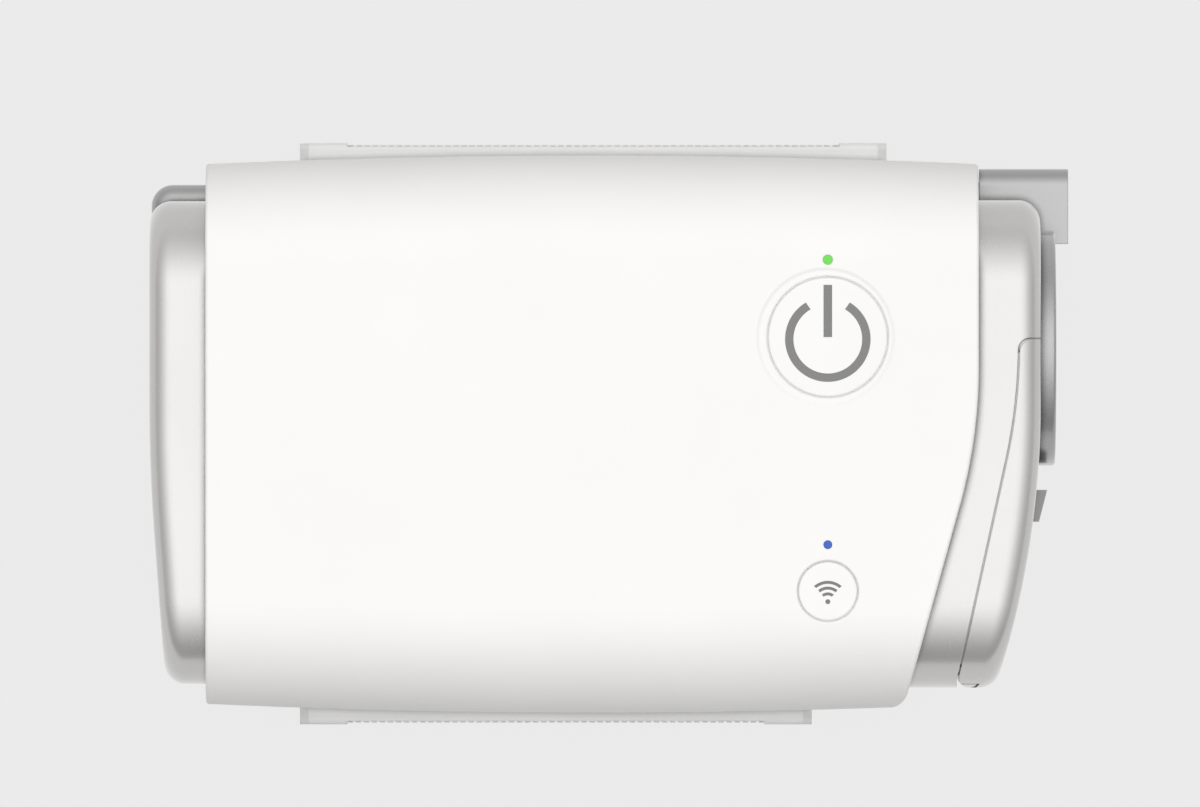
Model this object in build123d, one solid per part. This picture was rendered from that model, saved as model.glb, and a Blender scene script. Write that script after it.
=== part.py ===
from build123d import *
import math
import os

# A small travel CPAP machine lying on its underside, buttons up. Millimetres.
# +X runs along the body towards the air outlet, +Y towards the power inlet, +Z up.
# The origin is under the middle of the body, on the surface that it stands on.

# ------------------------------------------------------------------ driving sizes
# Casing sleeve
overall_length = 136.0
overall_height = 52.0
sleeve_width = 82.4
sleeve_barrel = 1.3
sleeve_crown = 0.7
foot_height = 1.2
top_corner_radius = 15.0
base_corner_radius = 12.0
shell_wall = 2.2
parting_height = 23.0
lip_height = 1.4
lip_wall = 1.0
sleeve_stations = 5
left_cap_length = 8.3
outlet_face_setback = 4.4
sleeve_right_setback = 13.6
swoosh_corner_y = -0.5
swoosh_angle = 15.5
swoosh_radius = 76.0
sleeve_corner_radius = 3.0
sleeve_edge_radius = 0.5

# End caps
cap_wall = 1.8
cap_corner_radius = 13.0
cap_edge_radius = 3.2
left_cap_gap = 0.75
left_cap_step = 2.5
left_cap_overlap = 5.0
left_cap_split_drop = 1.0
left_face_bend_y = -5.0
left_face_bend_angle = 4.2
left_face_bend_radius = 260.0
shoulder_radius = 2.2
outlet_cap_gap = 0.2
outlet_cap_step = 2.9
outlet_cap_reach = 16.4
outlet_face_bend_y = 5.0
outlet_face_radius = 138.0
outlet_face_sweep = 30.0

# Filter cover and its hinge
seam_x_setback = 7.8
seam_top_y = 14.2
seam_top_radius = 1.8
seam_corner_y = 4.7
seam_angle = 12.4
seam_radius = 80.0
seam_gap = 0.25
knuckle_radius = 1.5
knuckle_length = 19.0
lug_length = 3.7
lug_web = 1.35
lug_foot = 2.0
hinge_gap = 0.3
pin_radius = 0.5
running_gap = 0.05
tab_height = 9.0
tab_top_y = -8.3
tab_bottom_y = -13.0
tab_reach = 1.1
tab_bottom_setback = 0.1
grille_side = 9.7
grille_width = 16.3
grille_slot = 1.1
grille_pitch = 2.3
grille_height = 20.0

# Air filter and its bay
filter_length = 22.0
filter_height = 24.0
filter_thickness = 2.6
filter_side = 7.2
filter_clearance = 0.5
bulkhead_wall = 1.6
filter_frame_wall = 1.2
window_margin = 1.5
gasket_width = 2.2

# Air outlet
outlet_y = 12.7
ring_radius = 17.4
ring_proud = 2.3
ring_flange = 4.3
ring_edge_radius = 0.5
outlet_bore_radius = 13.0
outlet_bore_depth = 11.0
outlet_tube_wall = 1.6
outlet_floor = 2.0
collar_wall = 2.0
fit_gap = 0.15
cover_ring_gap = 0.4
flow_tube_radius = 7.2
flow_tube_wall = 1.2

# Power inlet
inlet_inner_wall = 1.3
inlet_ring_gap = 1.6
inlet_inset = 0.55
inlet_sleeve_gap = 0.4
inlet_spigot_length = 10.0
inlet_shoulder_radius = 2.6
socket_side = 8.4
socket_top_wall = 2.6
socket_width = 6.6
socket_depth = 11.0
socket_insert = 3.5
contact_radius = 0.7
contact_pitch = 3.4
contact_proud = 2.0
inlet_step = 1.0
lead_hole_radius = 2.0
lead_radius = 0.7
lead_pitch = 1.8
lead_turn = 13.0
lead_rise = 3.0
lead_y = 25.0
lead_bend = 1.8
power_plug_y = 17.0

# Buttons and lights
button_setback = 35.9
power_button_y = 14.3
power_button_radius = 8.8
wireless_button_side = 18.05
wireless_button_radius = 4.35
button_gap = 0.18
button_travel = 0.6
button_dish_width = 0.85
button_dish_slope = 0.45
button_dish_depth = 0.2
button_hole_edge_radius = 0.2
button_flange = 0.9
button_flange_thickness = 0.8
button_drop = 0.2
button_edge_radius = 0.3
stem_radius = 2.2
lamp_height = 0.8
green_light_step = 11.4
green_light_radius = 0.7
blue_light_step = 6.85
blue_light_radius = 0.6
light_flange = 0.6
flange_relief = 1.0

# Foot rails
rail_left_setback = 21.9
rear_rail_setback = 26.9
front_rail_setback = 38.0
rail_proud = 2.0
rail_height = 8.0
rail_depth = 9.0
rail_end_length = 7.0
rail_waist = 0.5
grip_pitch = 1.2
grip_groove = 0.4
grip_height = 4.0
rail_edge_radius = 1.0
rail_end_slope = 1.3
grip_depth = 1.0
grip_recess = 0.25
pad_proud = 0.6
pad_thickness = 1.1
pad_length = 12.0
pad_width = 4.5
pad_offset = 0.6

# Boards
board_thickness = 1.6
main_board_drop = 12.5
main_board_setback = 19.0
main_board_length = 57.0
board_side_gap = 13.2
button_board_drop = 9.0
button_board_length = 20.0
switch_size = 6.0
switch_height = 3.1
plunger_radius = 1.6
plunger_proud = 0.7
board_screw_inset = 2.4
middle_screw_shift = 4.0
middle_screw_y = -3.0
ribbon_y = -7.0
ribbon_width = 10.0
ribbon_thickness = 0.3
ribbon_bend = 2.0
ribbon_plug_width = 12.0
ribbon_plug_height = 2.0
ribbon_plug_inset = 0.5
ribbon_plug_length = 3.0
chip_sizes = (9.0, 6.0, 7.0, 4.0)
chip_height = 1.1
chip_start = 12.0
chip_pitch = 12.0
chip_row_y = 9.0
capacitor_radius = 3.0
capacitor_height = 5.0
capacitor_y = 21.0
capacitor_count = 3
capacitor_start = 15.0
capacitor_pitch = 7.2
capacitor_edge_radius = 0.5
connector_height = 4.0
plug_length = 4.0
plug_width = 6.0
plug_inset = 1.0

# Chassis
floor_gap = 0.3
chassis_floor = 1.6
chassis_left_setback = 15.0
chassis_right_setback = 17.4
chassis_side_step = 1.0
post_radius = 2.3
post_inset = 3.2
post_thread = 6.0
mount_cup_wall = 1.2
mount_cup_height = 1.5
cradle_thickness = 2.0
cradle_inset = 6.0
foam_rib_y = -8.0
foam_rib_width = 12.0
foam_rib_height = 8.0
foam_rib_thickness = 2.0

# Blower
blower_setback = 46.0
impeller_radius = 17.0
impeller_gap = 2.0
scroll_step = 2.0
scroll_height = 12.4
volute_wall = 1.6
exit_width = 12.0
eye_radius = 8.5
eye_collar = 2.2
blade_count = 11
blade_thickness = 0.8
blade_height = 9.2
blade_root_gap = 1.0
blade_mid_share = 0.62
blade_mid_angle = 20.0
blade_tip_angle = 52.0
blade_tip_setback = 0.5
blade_eye_margin = 2.0
hub_radius = 3.5
hub_height = 5.5
shaft_radius = 1.5
shaft_clearance = 0.5
shaft_end_gap = 0.2
bond_gap = 0.01
press_gap = 0.02
can_radius = 13.0
can_floor_gap = 0.9
can_wall = 1.0
bearing_radius = 4.0
bearing_width = 2.5
stator_slots = 6
mount_radius = 4.0
mount_height = 4.0
leg_reach = 13.4
leg_radius = 2.5
leg_pin = 2.0
leg_pin_spare = 0.5
ear_radius = 2.4
ear_reach = 1.9
ear_height = 4.0
ear_angle = 20.0
exit_setback = 8.0
impeller_floor_gap = 1.0
plate_thickness = 1.2
blade_slope = 1.0
bearing_split_radius = 2.4
race_inset = 0.1
magnet_radius = 5.6
magnet_gap = 0.5
stator_height = 4.2
stator_back = 1.7
tooth_width = 2.2
air_gap = 0.5
coil_depth = 0.7
coil_shoe = 0.8
motor_lead_radius = 0.45
motor_lead_reach = 2.3
motor_lead_rise = 2.0
motor_lead_end = 4.0
motor_lead_bend = 2.5
motor_lead_count = 3
bellows_wall = 1.0
bellows_grip = 3.0
bellows_corner_radius = 1.0
duct_wall = 1.2
duct_reach = 0.5
foam_gap = 0.4
foam_setback = 0.5
foam_end_gap = 2.0
foam_under_board = 3.0
foam_seat_gap = 0.2
foam_channel_inset = 3.0
foam_channel_height = 14.0
sensor_length = 10.0
sensor_width = 8.0
sensor_height = 4.0

# Screws
case_screw_left_setback = 18.0
case_screw_right_setback = 21.4
boss_radius = 3.2
boss_gap = 0.8
screw_shank = 1.2
screw_head_radius = 2.3
screw_head_height = 1.6
screw_play = 0.1
case_screw_length = 28.0
thread_spare = 2.0
small_shank = 0.8
small_head_radius = 1.6
small_head_height = 1.1
board_screw_length = 4.5
blower_screw_length = 7.2

# ------------------------------------------------------------------ derived places
left_x = -overall_length / 2
right_x = overall_length / 2
sleeve_left_x = left_x + left_cap_length
sleeve_right_x = right_x - sleeve_right_setback
sleeve_mid_x = (sleeve_left_x + sleeve_right_x) / 2
outlet_face_x = right_x - outlet_face_setback
ring_face_x = outlet_face_x + ring_proud
seam_x = right_x - seam_x_setback
shell_top_inside = overall_height - shell_wall
shell_base_inside = foot_height + shell_wall
left_cap_split_height = parting_height - left_cap_split_drop
outlet_z = overall_height / 2
outlet_cap_start = sleeve_right_x - outlet_cap_reach
button_x = right_x - button_setback
wireless_button_y = wireless_button_side - sleeve_width / 2
green_light_y = power_button_y + green_light_step
blue_light_y = wireless_button_y + blue_light_step
filter_bottom = filter_side - sleeve_width / 2
grille_bottom_y = grille_side - sleeve_width / 2
button_board_top = overall_height - button_board_drop
switch_top = button_board_top + switch_height
plunger_top = switch_top + plunger_proud
plunger_low = switch_top - switch_height / 3
main_board_height = overall_height - main_board_drop
main_board_top = main_board_height + board_thickness
main_board_left_x = left_x + main_board_setback
main_board_right_x = main_board_left_x + main_board_length
board_half_width = sleeve_width / 2 - board_side_gap
chassis_left_x = left_x + chassis_left_setback
chassis_right_x = sleeve_right_x - chassis_right_setback
chassis_half_width = board_half_width - chassis_side_step
floor_low = shell_base_inside + floor_gap
floor_top = floor_low + chassis_floor
ring_tube_radius = outlet_bore_radius + outlet_tube_wall
outlet_floor_x = ring_face_x - outlet_bore_depth
flow_tube_outer = flow_tube_radius + flow_tube_wall
seal_radius = flow_tube_outer + flow_tube_wall
case_screw_left_x = left_x + case_screw_left_setback
case_screw_right_x = sleeve_right_x - case_screw_right_setback
case_screw_y = board_half_width + boss_gap + boss_radius
case_screw_tip = shell_base_inside + screw_head_height + case_screw_length
rail_left_x = left_x + rail_left_setback
rear_rail_right_x = right_x - rear_rail_setback
front_rail_right_x = right_x - front_rail_setback
blower_x = left_x + blower_setback

# The socket keeps its walls to the side, to the ring above it and to the cap beside it.
socket_y = sleeve_width / 2 - socket_side
inlet_inner_y = socket_y - socket_width / 2 - inlet_inner_wall
ring_reach = math.sqrt(max(0.0, ring_radius ** 2 - (inlet_inner_y - outlet_y) ** 2))
inlet_top_height = outlet_z - ring_reach - inlet_ring_gap
socket_z = inlet_top_height - socket_top_wall - socket_width / 2

# A fillet of this share of a width almost meets its twin.
near_half_share = 0.45

# How far solids for cutting reach past what they cut, and past the whole body.
overcut = 1.0
far = overall_length


# ------------------------------------------------------------------ shared shapes
def prism(lines, low=-far, high=far):
    """A vertical prism over a closed plan outline."""
    edges = [edge for line in lines for edge in line.edges()]
    return extrude(Pos(0, 0, low) * make_face(edges), amount=high - low, dir=(0, 0, 1))


def block(x_low, x_high, y_low, y_high, z_low, z_high):
    """A box given by its two corners."""
    size = (x_high - x_low, y_high - y_low, z_high - z_low)
    middle = ((x_low + x_high) / 2, (y_low + y_high) / 2, (z_low + z_high) / 2)
    return Pos(*middle) * Box(*size)


def upright(x, y, radius, low, high):
    """A vertical cylinder."""
    return Pos(x, y, (low + high) / 2) * Cylinder(radius, high - low)


def along_x(y, z, radius, low, high):
    """A cylinder along the body."""
    return Pos((low + high) / 2, y, z) * Rot(0, 90, 0) * Cylinder(radius, high - low)


def cross_section(x, y_low, y_high, z_low, z_high, base_radius, top_radius):
    """A rounded rectangle that stands across the body at x."""
    outline = Rectangle(y_high - y_low, z_high - z_low)
    outline = fillet(outline.vertices().group_by(Axis.Y)[0], base_radius)
    outline = fillet(outline.vertices().group_by(Axis.Y)[-1], top_radius)
    middle = Pos((y_low + y_high) / 2, (z_low + z_high) / 2)
    across = Plane(origin=(x, 0, 0), x_dir=(0, 1, 0), z_dir=(1, 0, 0))
    return across * (middle * outline)


def barrel_share(x):
    """0 at the sleeve's middle, 1 at either of its ends."""
    return ((x - sleeve_mid_x) / (sleeve_right_x - sleeve_mid_x)) ** 2


def sleeve_half(x):
    """Half the sleeve's width at a place along the body."""
    return sleeve_width / 2 - sleeve_barrel * barrel_share(x)


def sleeve_form(inset=0.0):
    """The solid barrel form of the sleeve, drawn in by an inset and longer than the body."""
    sections = []
    for station in range(sleeve_stations):
        x = left_x + overall_length * station / (sleeve_stations - 1)
        half = sleeve_half(x) - inset
        top = overall_height - sleeve_crown * barrel_share(x) - inset
        low = foot_height + inset
        radii = (base_corner_radius - inset, top_corner_radius - inset)
        sections.append(cross_section(x, -half, half, low, top, *radii))
    return loft(sections)


def sleeve_plan():
    """The prism that trims the sleeve: square at the left, swept back to a round corner at the right."""
    lean = math.tan(math.radians(swoosh_angle))
    side_x = sleeve_right_x - lean * (sleeve_width / 2 + swoosh_corner_y)
    side_y = -sleeve_half(side_x) - running_gap
    corner_x = sleeve_right_x - lean * (swoosh_corner_y - side_y)
    half_length = sleeve_right_x - sleeve_mid_x
    side_lean = 2 * sleeve_barrel * (corner_x - sleeve_mid_x) / half_length ** 2
    corners = [(sleeve_right_x, far), (sleeve_right_x, swoosh_corner_y), (corner_x, side_y),
               (sleeve_mid_x, side_y - side_lean * (corner_x - sleeve_mid_x))]
    edge = FilletPolyline(*corners, radius=[swoosh_radius, sleeve_corner_radius])
    rest = Polyline(edge @ 1, (sleeve_mid_x, -far), (sleeve_left_x, -far), (sleeve_left_x, far), edge @ 0)
    return prism([edge, rest])


def roof_height(x, y, inset=0.0):
    """The height of the sleeve form's upper surface at a place in plan."""
    top = overall_height - sleeve_crown * barrel_share(x) - inset
    into_corner = max(0.0, abs(y) - (sleeve_half(x) - top_corner_radius))
    radius = top_corner_radius - inset
    return top - radius + math.sqrt(radius ** 2 - into_corner ** 2)


def polar(radius, angle):
    """A point at a distance and an angle from an axis."""
    return (radius * math.cos(math.radians(angle)), radius * math.sin(math.radians(angle)))


def rim(form, side):
    """The edges where the end of a form (side -1 or +1) meets its long faces."""
    ends = [face for face in form.faces() if face.normal_at(face.center()).X * side > 0.8]
    edges = [edge for face in ends for edge in face.edges()]
    return [edge for edge in edges if sum(edge.is_same(other) for other in edges) == 1]


def tube(points, radius, bend):
    """A round lead along straight runs joined by arcs."""
    path = FilletPolyline(*points, radius=bend)
    section = Plane(origin=path @ 0, z_dir=path % 0) * Circle(radius)
    return sweep(section, path=path)


def cap_form(x_low, y_low, y_high, z_low, z_high, plan, inset=0.0):
    """The solid form of an end cap: a rounded bar along the body cut to a plan outline."""
    radius = cap_corner_radius - inset
    limits = (y_low + inset, y_high - inset, z_low + inset, z_high - inset)
    bar = extrude(cross_section(x_low, *limits, radius, radius), amount=far, dir=(1, 0, 0))
    return bar & plan


# ------------------------------------------------------------------ casing sleeve
outer_form = sleeve_form()
inner_form = sleeve_form(shell_wall)
sleeve_solid = outer_form & sleeve_plan()
sleeve_solid = fillet(rim(sleeve_solid, -1) + rim(sleeve_solid, 1), sleeve_edge_radius)
lip_outer_form = sleeve_form(shell_wall - lip_wall)
screw_places = [(x, y) for x in (case_screw_left_x, case_screw_right_x)
                for y in (-case_screw_y, case_screw_y)]


def sleeve_shell(low, high):
    """The part of the sleeve's wall between two heights."""
    band = block(-far, far, -far, far, low, high)
    return (sleeve_solid - inner_form) & band


def case_bosses(low, high):
    """Screw bosses that run into the wall."""
    posts = [upright(x, y, boss_radius, low, high) for x, y in screw_places]
    return [post & sleeve_form(shell_wall / 2) for post in posts]


def power_button_dish():
    """The shallow dish round the power button, its floor parallel to the roof, as a cutter."""
    floor_radius = power_button_radius + button_gap + button_dish_width
    slope = button_dish_slope / button_dish_depth
    floor_z = roof_height(button_x, power_button_y) - button_dish_depth
    cone = Cone(floor_radius - slope * overcut, floor_radius + slope * overcut, 2 * overcut)
    return Pos(button_x, power_button_y, floor_z) * cone - sleeve_form(button_dish_depth)


def mouth_edges(shape, y, radius, above):
    """The edges of a shape on an upright circle about a button's axis, above a height."""
    found = []
    for edge in shape.edges():
        place = edge.position_at(0.5)
        off_circle = abs(math.dist((place.X, place.Y), (button_x, y)) - radius)
        if off_circle < running_gap and place.Z > above and edge.geom_type != GeomType.LINE:
            found.append(edge)
    return found


def cut_button_hole(shell, y, radius):
    """The shell with the round hole of one button, its mouth eased."""
    shell -= upright(button_x, y, radius, parting_height, overall_height + overcut)
    above = roof_height(button_x, y) - shell_wall / 2
    return fillet(mouth_edges(shell, y, radius, above), button_hole_edge_radius)


def make_top_shell():
    shell = sleeve_shell(parting_height, far)
    for boss in case_bosses(parting_height, overall_height):
        shell += boss
    for x, y in screw_places:
        shell -= upright(x, y, screw_shank + screw_play / 2, parting_height, case_screw_tip + thread_spare)
    lip_band = block(-far, far, -far, far, parting_height, parting_height + lip_height)
    shell -= (lip_outer_form - inner_form) & lip_band
    shell -= power_button_dish()
    shell = cut_button_hole(shell, power_button_y, power_button_radius + button_gap)
    shell = cut_button_hole(shell, wireless_button_y, wireless_button_radius + button_gap)
    shell -= upright(button_x, green_light_y, green_light_radius + running_gap, parting_height, far)
    shell -= upright(button_x, blue_light_y, blue_light_radius + running_gap, parting_height, far)
    return shell


def make_base_shell():
    shell = sleeve_shell(-far, parting_height)
    lip_band = block(-far, far, -far, far, parting_height, parting_height + lip_height - screw_play)
    shell += (sleeve_form(shell_wall - lip_wall + screw_play) - inner_form) & sleeve_plan() & lip_band
    for boss in case_bosses(foot_height, parting_height):
        shell += boss
    for x, y in screw_places:
        shell -= upright(x, y, screw_shank + screw_play, 0, parting_height + lip_height)
        shell -= upright(x, y, screw_head_radius + screw_play, 0, shell_base_inside + screw_head_height)
    return shell


# ------------------------------------------------------------------ closed end
left_side_y = sleeve_width / 2 - sleeve_barrel - shell_wall - left_cap_gap
left_top_z = shell_top_inside - sleeve_crown - left_cap_gap
left_base_z = shell_base_inside + left_cap_gap
left_inner_x = sleeve_left_x + left_cap_overlap


def left_plan(inset=0.0):
    """The plan outline of the closed end: flat, then leaning in towards the front."""
    face_x = left_x + inset
    lean = math.tan(math.radians(left_face_bend_angle)) * (far + left_face_bend_y)
    corners = [(face_x, far), (face_x, left_face_bend_y), (face_x + lean, -far)]
    edge = FilletPolyline(*corners, radius=left_face_bend_radius)
    rest = Polyline(edge @ 1, (left_inner_x, -far), (left_inner_x, far), edge @ 0)
    return prism([edge, rest])


def left_form(rear_y, inset=0.0):
    """The closed end's form, as far back as rear_y."""
    limits = (-left_side_y, rear_y, left_base_z, left_top_z)
    return cap_form(left_x - overcut, *limits, left_plan(inset), inset)


def left_hollow():
    """The space inside both pieces of the closed end."""
    form = left_form(left_side_y - left_cap_step, cap_wall)
    return fillet(rim(form, -1), cap_edge_radius - cap_wall)


def make_left_end_cap():
    form = left_form(left_side_y - left_cap_step)
    outer = fillet(rim(form, -1), cap_edge_radius)
    upper = block(-far, far, -far, far, left_cap_split_height, far)
    return (outer - left_hollow()) & upper


def make_left_end_base():
    outer = fillet(rim(left_form(left_side_y), -1), cap_edge_radius)
    lower = outer & block(-far, far, -far, far, -far, left_cap_split_height)
    shoulder = lower.edges().filter_by(Axis.X).group_by(Axis.Z)[-1].sort_by(Axis.Y)[-1]
    return fillet([shoulder], shoulder_radius) - left_hollow()


# ------------------------------------------------------------------ outlet end
outlet_side_y = sleeve_width / 2 - sleeve_barrel - shell_wall - outlet_cap_gap
outlet_rear_y = outlet_side_y - outlet_cap_step
outlet_top_z = shell_top_inside - sleeve_crown - outlet_cap_gap
outlet_base_z = shell_base_inside + outlet_cap_gap
lean_sin = math.sin(math.radians(seam_angle))
lean_cos = math.cos(math.radians(seam_angle))
hinge_out = seam_gap + knuckle_radius
hinge_along = (-outlet_side_y + knuckle_radius - seam_corner_y + hinge_out * lean_sin) / lean_cos
hinge_x = seam_x + hinge_out * lean_cos + hinge_along * lean_sin
hinge_y = -outlet_side_y + knuckle_radius
relief_radius = knuckle_radius + hinge_gap
lug_bands = [
    (outlet_z - knuckle_length / 2 - hinge_gap - lug_length, outlet_z - knuckle_length / 2 - hinge_gap),
    (outlet_z + knuckle_length / 2 + hinge_gap, outlet_z + knuckle_length / 2 + hinge_gap + lug_length)]

# The frame of the sloping part of the seam: x points out of the body, y runs up along the seam.
seam_frame = Pos(seam_x, seam_corner_y, outlet_z) * Rot(0, 0, -seam_angle)


def outlet_plan(inset=0.0):
    """The plan outline of the outlet end: flat, then curving away towards the front."""
    face_x = outlet_face_x - inset
    radius = outlet_face_radius - inset
    straight = Line((face_x, far), (face_x, outlet_face_bend_y))
    curve = CenterArc((face_x - radius, outlet_face_bend_y), radius, 0, -outlet_face_sweep)
    low_y = (curve @ 1).Y
    rest = Polyline(curve @ 1, (outlet_cap_start, low_y), (outlet_cap_start, far), (face_x, far))
    return prism([straight, curve, rest])


def outlet_form(inset=0.0):
    limits = (-outlet_side_y, outlet_rear_y, outlet_base_z, outlet_top_z)
    return cap_form(outlet_cap_start - overcut, *limits, outlet_plan(inset), inset)


def seam_line(gap, last):
    """The seam between cap and cover, from the end face round to a last point."""
    corner = (seam_x + gap, seam_corner_y - gap * math.tan(math.radians(seam_angle / 2)))
    corners = [(far, seam_top_y - gap), (seam_x + gap, seam_top_y - gap), corner, last]
    return FilletPolyline(*corners, radius=[seam_top_radius, seam_radius])


def cover_plan():
    """The plan of the filter cover: outboard of the seam, rounded about the hinge."""
    seam = seam_line(seam_gap, (hinge_x - knuckle_radius * lean_cos, hinge_y + knuckle_radius * lean_sin))
    lip = CenterArc((hinge_x, hinge_y), knuckle_radius, 180 - seam_angle, 90 + seam_angle)
    low_y = -outlet_side_y - overcut
    rest = Polyline(lip @ 1, (hinge_x, low_y), (far, low_y), seam @ 0)
    return prism([seam, lip, rest])


def cover_space():
    """The plan that the cap leaves free for the cover."""
    seam = seam_line(0, (hinge_x - hinge_out * lean_cos, hinge_y + hinge_out * lean_sin))
    side_x = hinge_x - relief_radius
    low_y = -outlet_side_y - overcut
    rest = Polyline(seam @ 1, (side_x, hinge_y), (side_x, low_y), (far, low_y), seam @ 0)
    return prism([seam, rest])


outlet_outer = fillet(rim(outlet_form(), 1), cap_edge_radius)
outlet_inner = fillet(rim(outlet_form(cap_wall), 1), cap_edge_radius - cap_wall)
filter_mid = filter_bottom + filter_length / 2


def filter_frame_box(out_low, out_high, margin):
    """A box round the filter in the seam's frame, with a margin on its four sides."""
    size = (out_high - out_low, filter_length + 2 * margin, filter_height + 2 * margin)
    return seam_frame * Pos((out_low + out_high) / 2, filter_mid, 0) * Box(*size)


def bulkhead():
    """The sloping wall behind the filter, with its window."""
    length = filter_length + 2 * (window_margin + gasket_width)
    centre = Pos(-filter_clearance - bulkhead_wall / 2, filter_mid, 0)
    wall = seam_frame * centre * Box(bulkhead_wall, length, overall_height)
    return (wall & outlet_form(cap_wall / 2)) - filter_frame_box(-far, far, -window_margin)


def outlet_collar():
    """The sleeve that carries the outlet ring, and the wall that joins it to the cap."""
    seat_x = outlet_face_x - (ring_flange - ring_proud)
    wall_x = seat_x - outlet_bore_depth
    inside = ring_tube_radius + fit_gap
    barrel = along_x(outlet_y, outlet_z, inside + collar_wall, wall_x, seat_x - fit_gap)
    wall = block(wall_x, wall_x + bulkhead_wall, outlet_y - inside - collar_wall, far, 0, far)
    wall = wall & outlet_form(cap_wall / 2)
    return (barrel + wall) - along_x(outlet_y, outlet_z, inside, 0, far)


def hinge_lugs():
    """The two fixed knuckles above and below the cover's own."""
    reach = hinge_out + bulkhead_wall + filter_clearance
    web = seam_frame * Pos(hinge_out - reach / 2, hinge_along + lug_web / 2, 0)
    web = web * Box(reach, lug_web, overall_height)
    foot = block(hinge_x - relief_radius - lug_foot, hinge_x - relief_radius,
                 -outlet_side_y + cap_wall / 2, hinge_y + lug_web, 0, overall_height)
    full = upright(hinge_x, hinge_y, knuckle_radius, 0, overall_height) + web + foot
    lugs = [full & block(-far, far, -far, far, *band) for band in lug_bands]
    return [lug & outlet_form() for lug in lugs]


def make_outlet_end_cap():
    cap = outlet_outer - outlet_inner - cover_space()
    cap += bulkhead()
    cap += outlet_collar()
    cap -= upright(hinge_x, hinge_y, relief_radius, 0, overall_height)
    for lug in hinge_lugs():
        cap += lug
    cap -= upright(hinge_x, hinge_y, pin_radius + running_gap, lug_bands[0][0], lug_bands[1][1])
    cap -= along_x(outlet_y, outlet_z, ring_radius + fit_gap, outlet_face_x - ring_flange + ring_proud, far)
    cap -= block(0, far, inlet_inner_y - fit_gap, far, 0, inlet_top_height + fit_gap)
    relief = power_button_radius + button_flange + flange_relief
    cap -= block(0, button_x + relief, power_button_y - relief, power_button_y + relief,
                 button_board_top, far)
    return cap


def make_filter_cover():
    plan = cover_plan()
    cover = (outlet_outer - outlet_inner) & plan
    frame = filter_frame_box(filter_clearance, far, filter_frame_wall) & outlet_form(cap_wall / 2) & plan
    frame -= filter_frame_box(0, filter_clearance + filter_thickness + fit_gap, fit_gap)
    frame -= filter_frame_box(0, far, -window_margin)
    cover += frame
    knuckle_band = (outlet_z - knuckle_length / 2, outlet_z + knuckle_length / 2)
    knuckle = upright(hinge_x, hinge_y, knuckle_radius, *knuckle_band)
    skirt = block(hinge_x, hinge_x + knuckle_radius, -outlet_side_y, hinge_y, *knuckle_band)
    cover += (knuckle + skirt) & outlet_form()
    for low, high in lug_bands:
        cover -= upright(hinge_x, hinge_y, relief_radius, low - hinge_gap, high + hinge_gap)
        side = seam_frame * Pos(0, hinge_along, (low + high) / 2 - outlet_z)
        cover -= side * Box(2 * hinge_out, 3 * knuckle_radius, high - low + 2 * hinge_gap)
    cover -= upright(hinge_x, hinge_y, pin_radius + running_gap, lug_bands[0][0], lug_bands[1][1])
    cover -= along_x(outlet_y, outlet_z, ring_radius + cover_ring_gap, 0, far)
    for slot in grille_slots():
        cover -= slot
    return cover


def grille_slots():
    """Upright air slots through the cover's end face."""
    count = int(grille_width / grille_pitch) + 1
    slots = []
    for index in range(count):
        y = grille_bottom_y + grille_width - index * grille_pitch
        slot = Box(far, grille_slot, grille_height)
        slot = fillet(slot.edges().filter_by(Axis.X), grille_slot * near_half_share)
        slots.append(Pos(hinge_x + overcut + far / 2, y, outlet_z) * slot)
    return slots


def make_cover_tab():
    """The wedge on the cover's end face that a finger pulls."""
    root_x = outlet_face_x - cap_wall
    outline = Polyline(
        (root_x, tab_top_y), (outlet_face_x + tab_reach, tab_top_y),
        (outlet_face_x - tab_bottom_setback, tab_bottom_y), (root_x, tab_bottom_y), close=True)
    tab = prism([outline], outlet_z - tab_height / 2, outlet_z + tab_height / 2)
    return tab - outlet_outer


def make_air_filter():
    """The filter pad, which rides in the cover's frame."""
    return filter_frame_box(filter_clearance, filter_clearance + filter_thickness, 0)


def make_filter_gasket():
    face = filter_frame_box(-filter_clearance, filter_clearance / 2, gasket_width - window_margin)
    return face - filter_frame_box(-far, far, -window_margin)


def make_cover_hinge_pin():
    return upright(hinge_x, hinge_y, pin_radius, lug_bands[0][0], lug_bands[1][1])


def make_outlet_ring():
    seat_x = ring_face_x - ring_flange
    flange = along_x(outlet_y, outlet_z, ring_radius, seat_x, ring_face_x)
    outer_rim = flange.edges().group_by(Axis.X)[-1]
    ring = fillet(outer_rim, ring_edge_radius)
    ring += along_x(outlet_y, outlet_z, ring_tube_radius, outlet_floor_x - outlet_floor, seat_x)
    ring -= along_x(outlet_y, outlet_z, outlet_bore_radius, outlet_floor_x, far)
    return ring - along_x(outlet_y, outlet_z, seal_radius + running_gap, 0, far)


def make_outlet_seal():
    seal = along_x(outlet_y, outlet_z, seal_radius, outlet_floor_x - outlet_floor, outlet_floor_x)
    return seal - along_x(outlet_y, outlet_z, flow_tube_outer + running_gap, 0, far)


# ------------------------------------------------------------------ power inlet
inlet_face_x = right_x
inlet_start_x = sleeve_right_x + inlet_sleeve_gap
recess_floor_x = inlet_face_x - socket_depth


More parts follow.
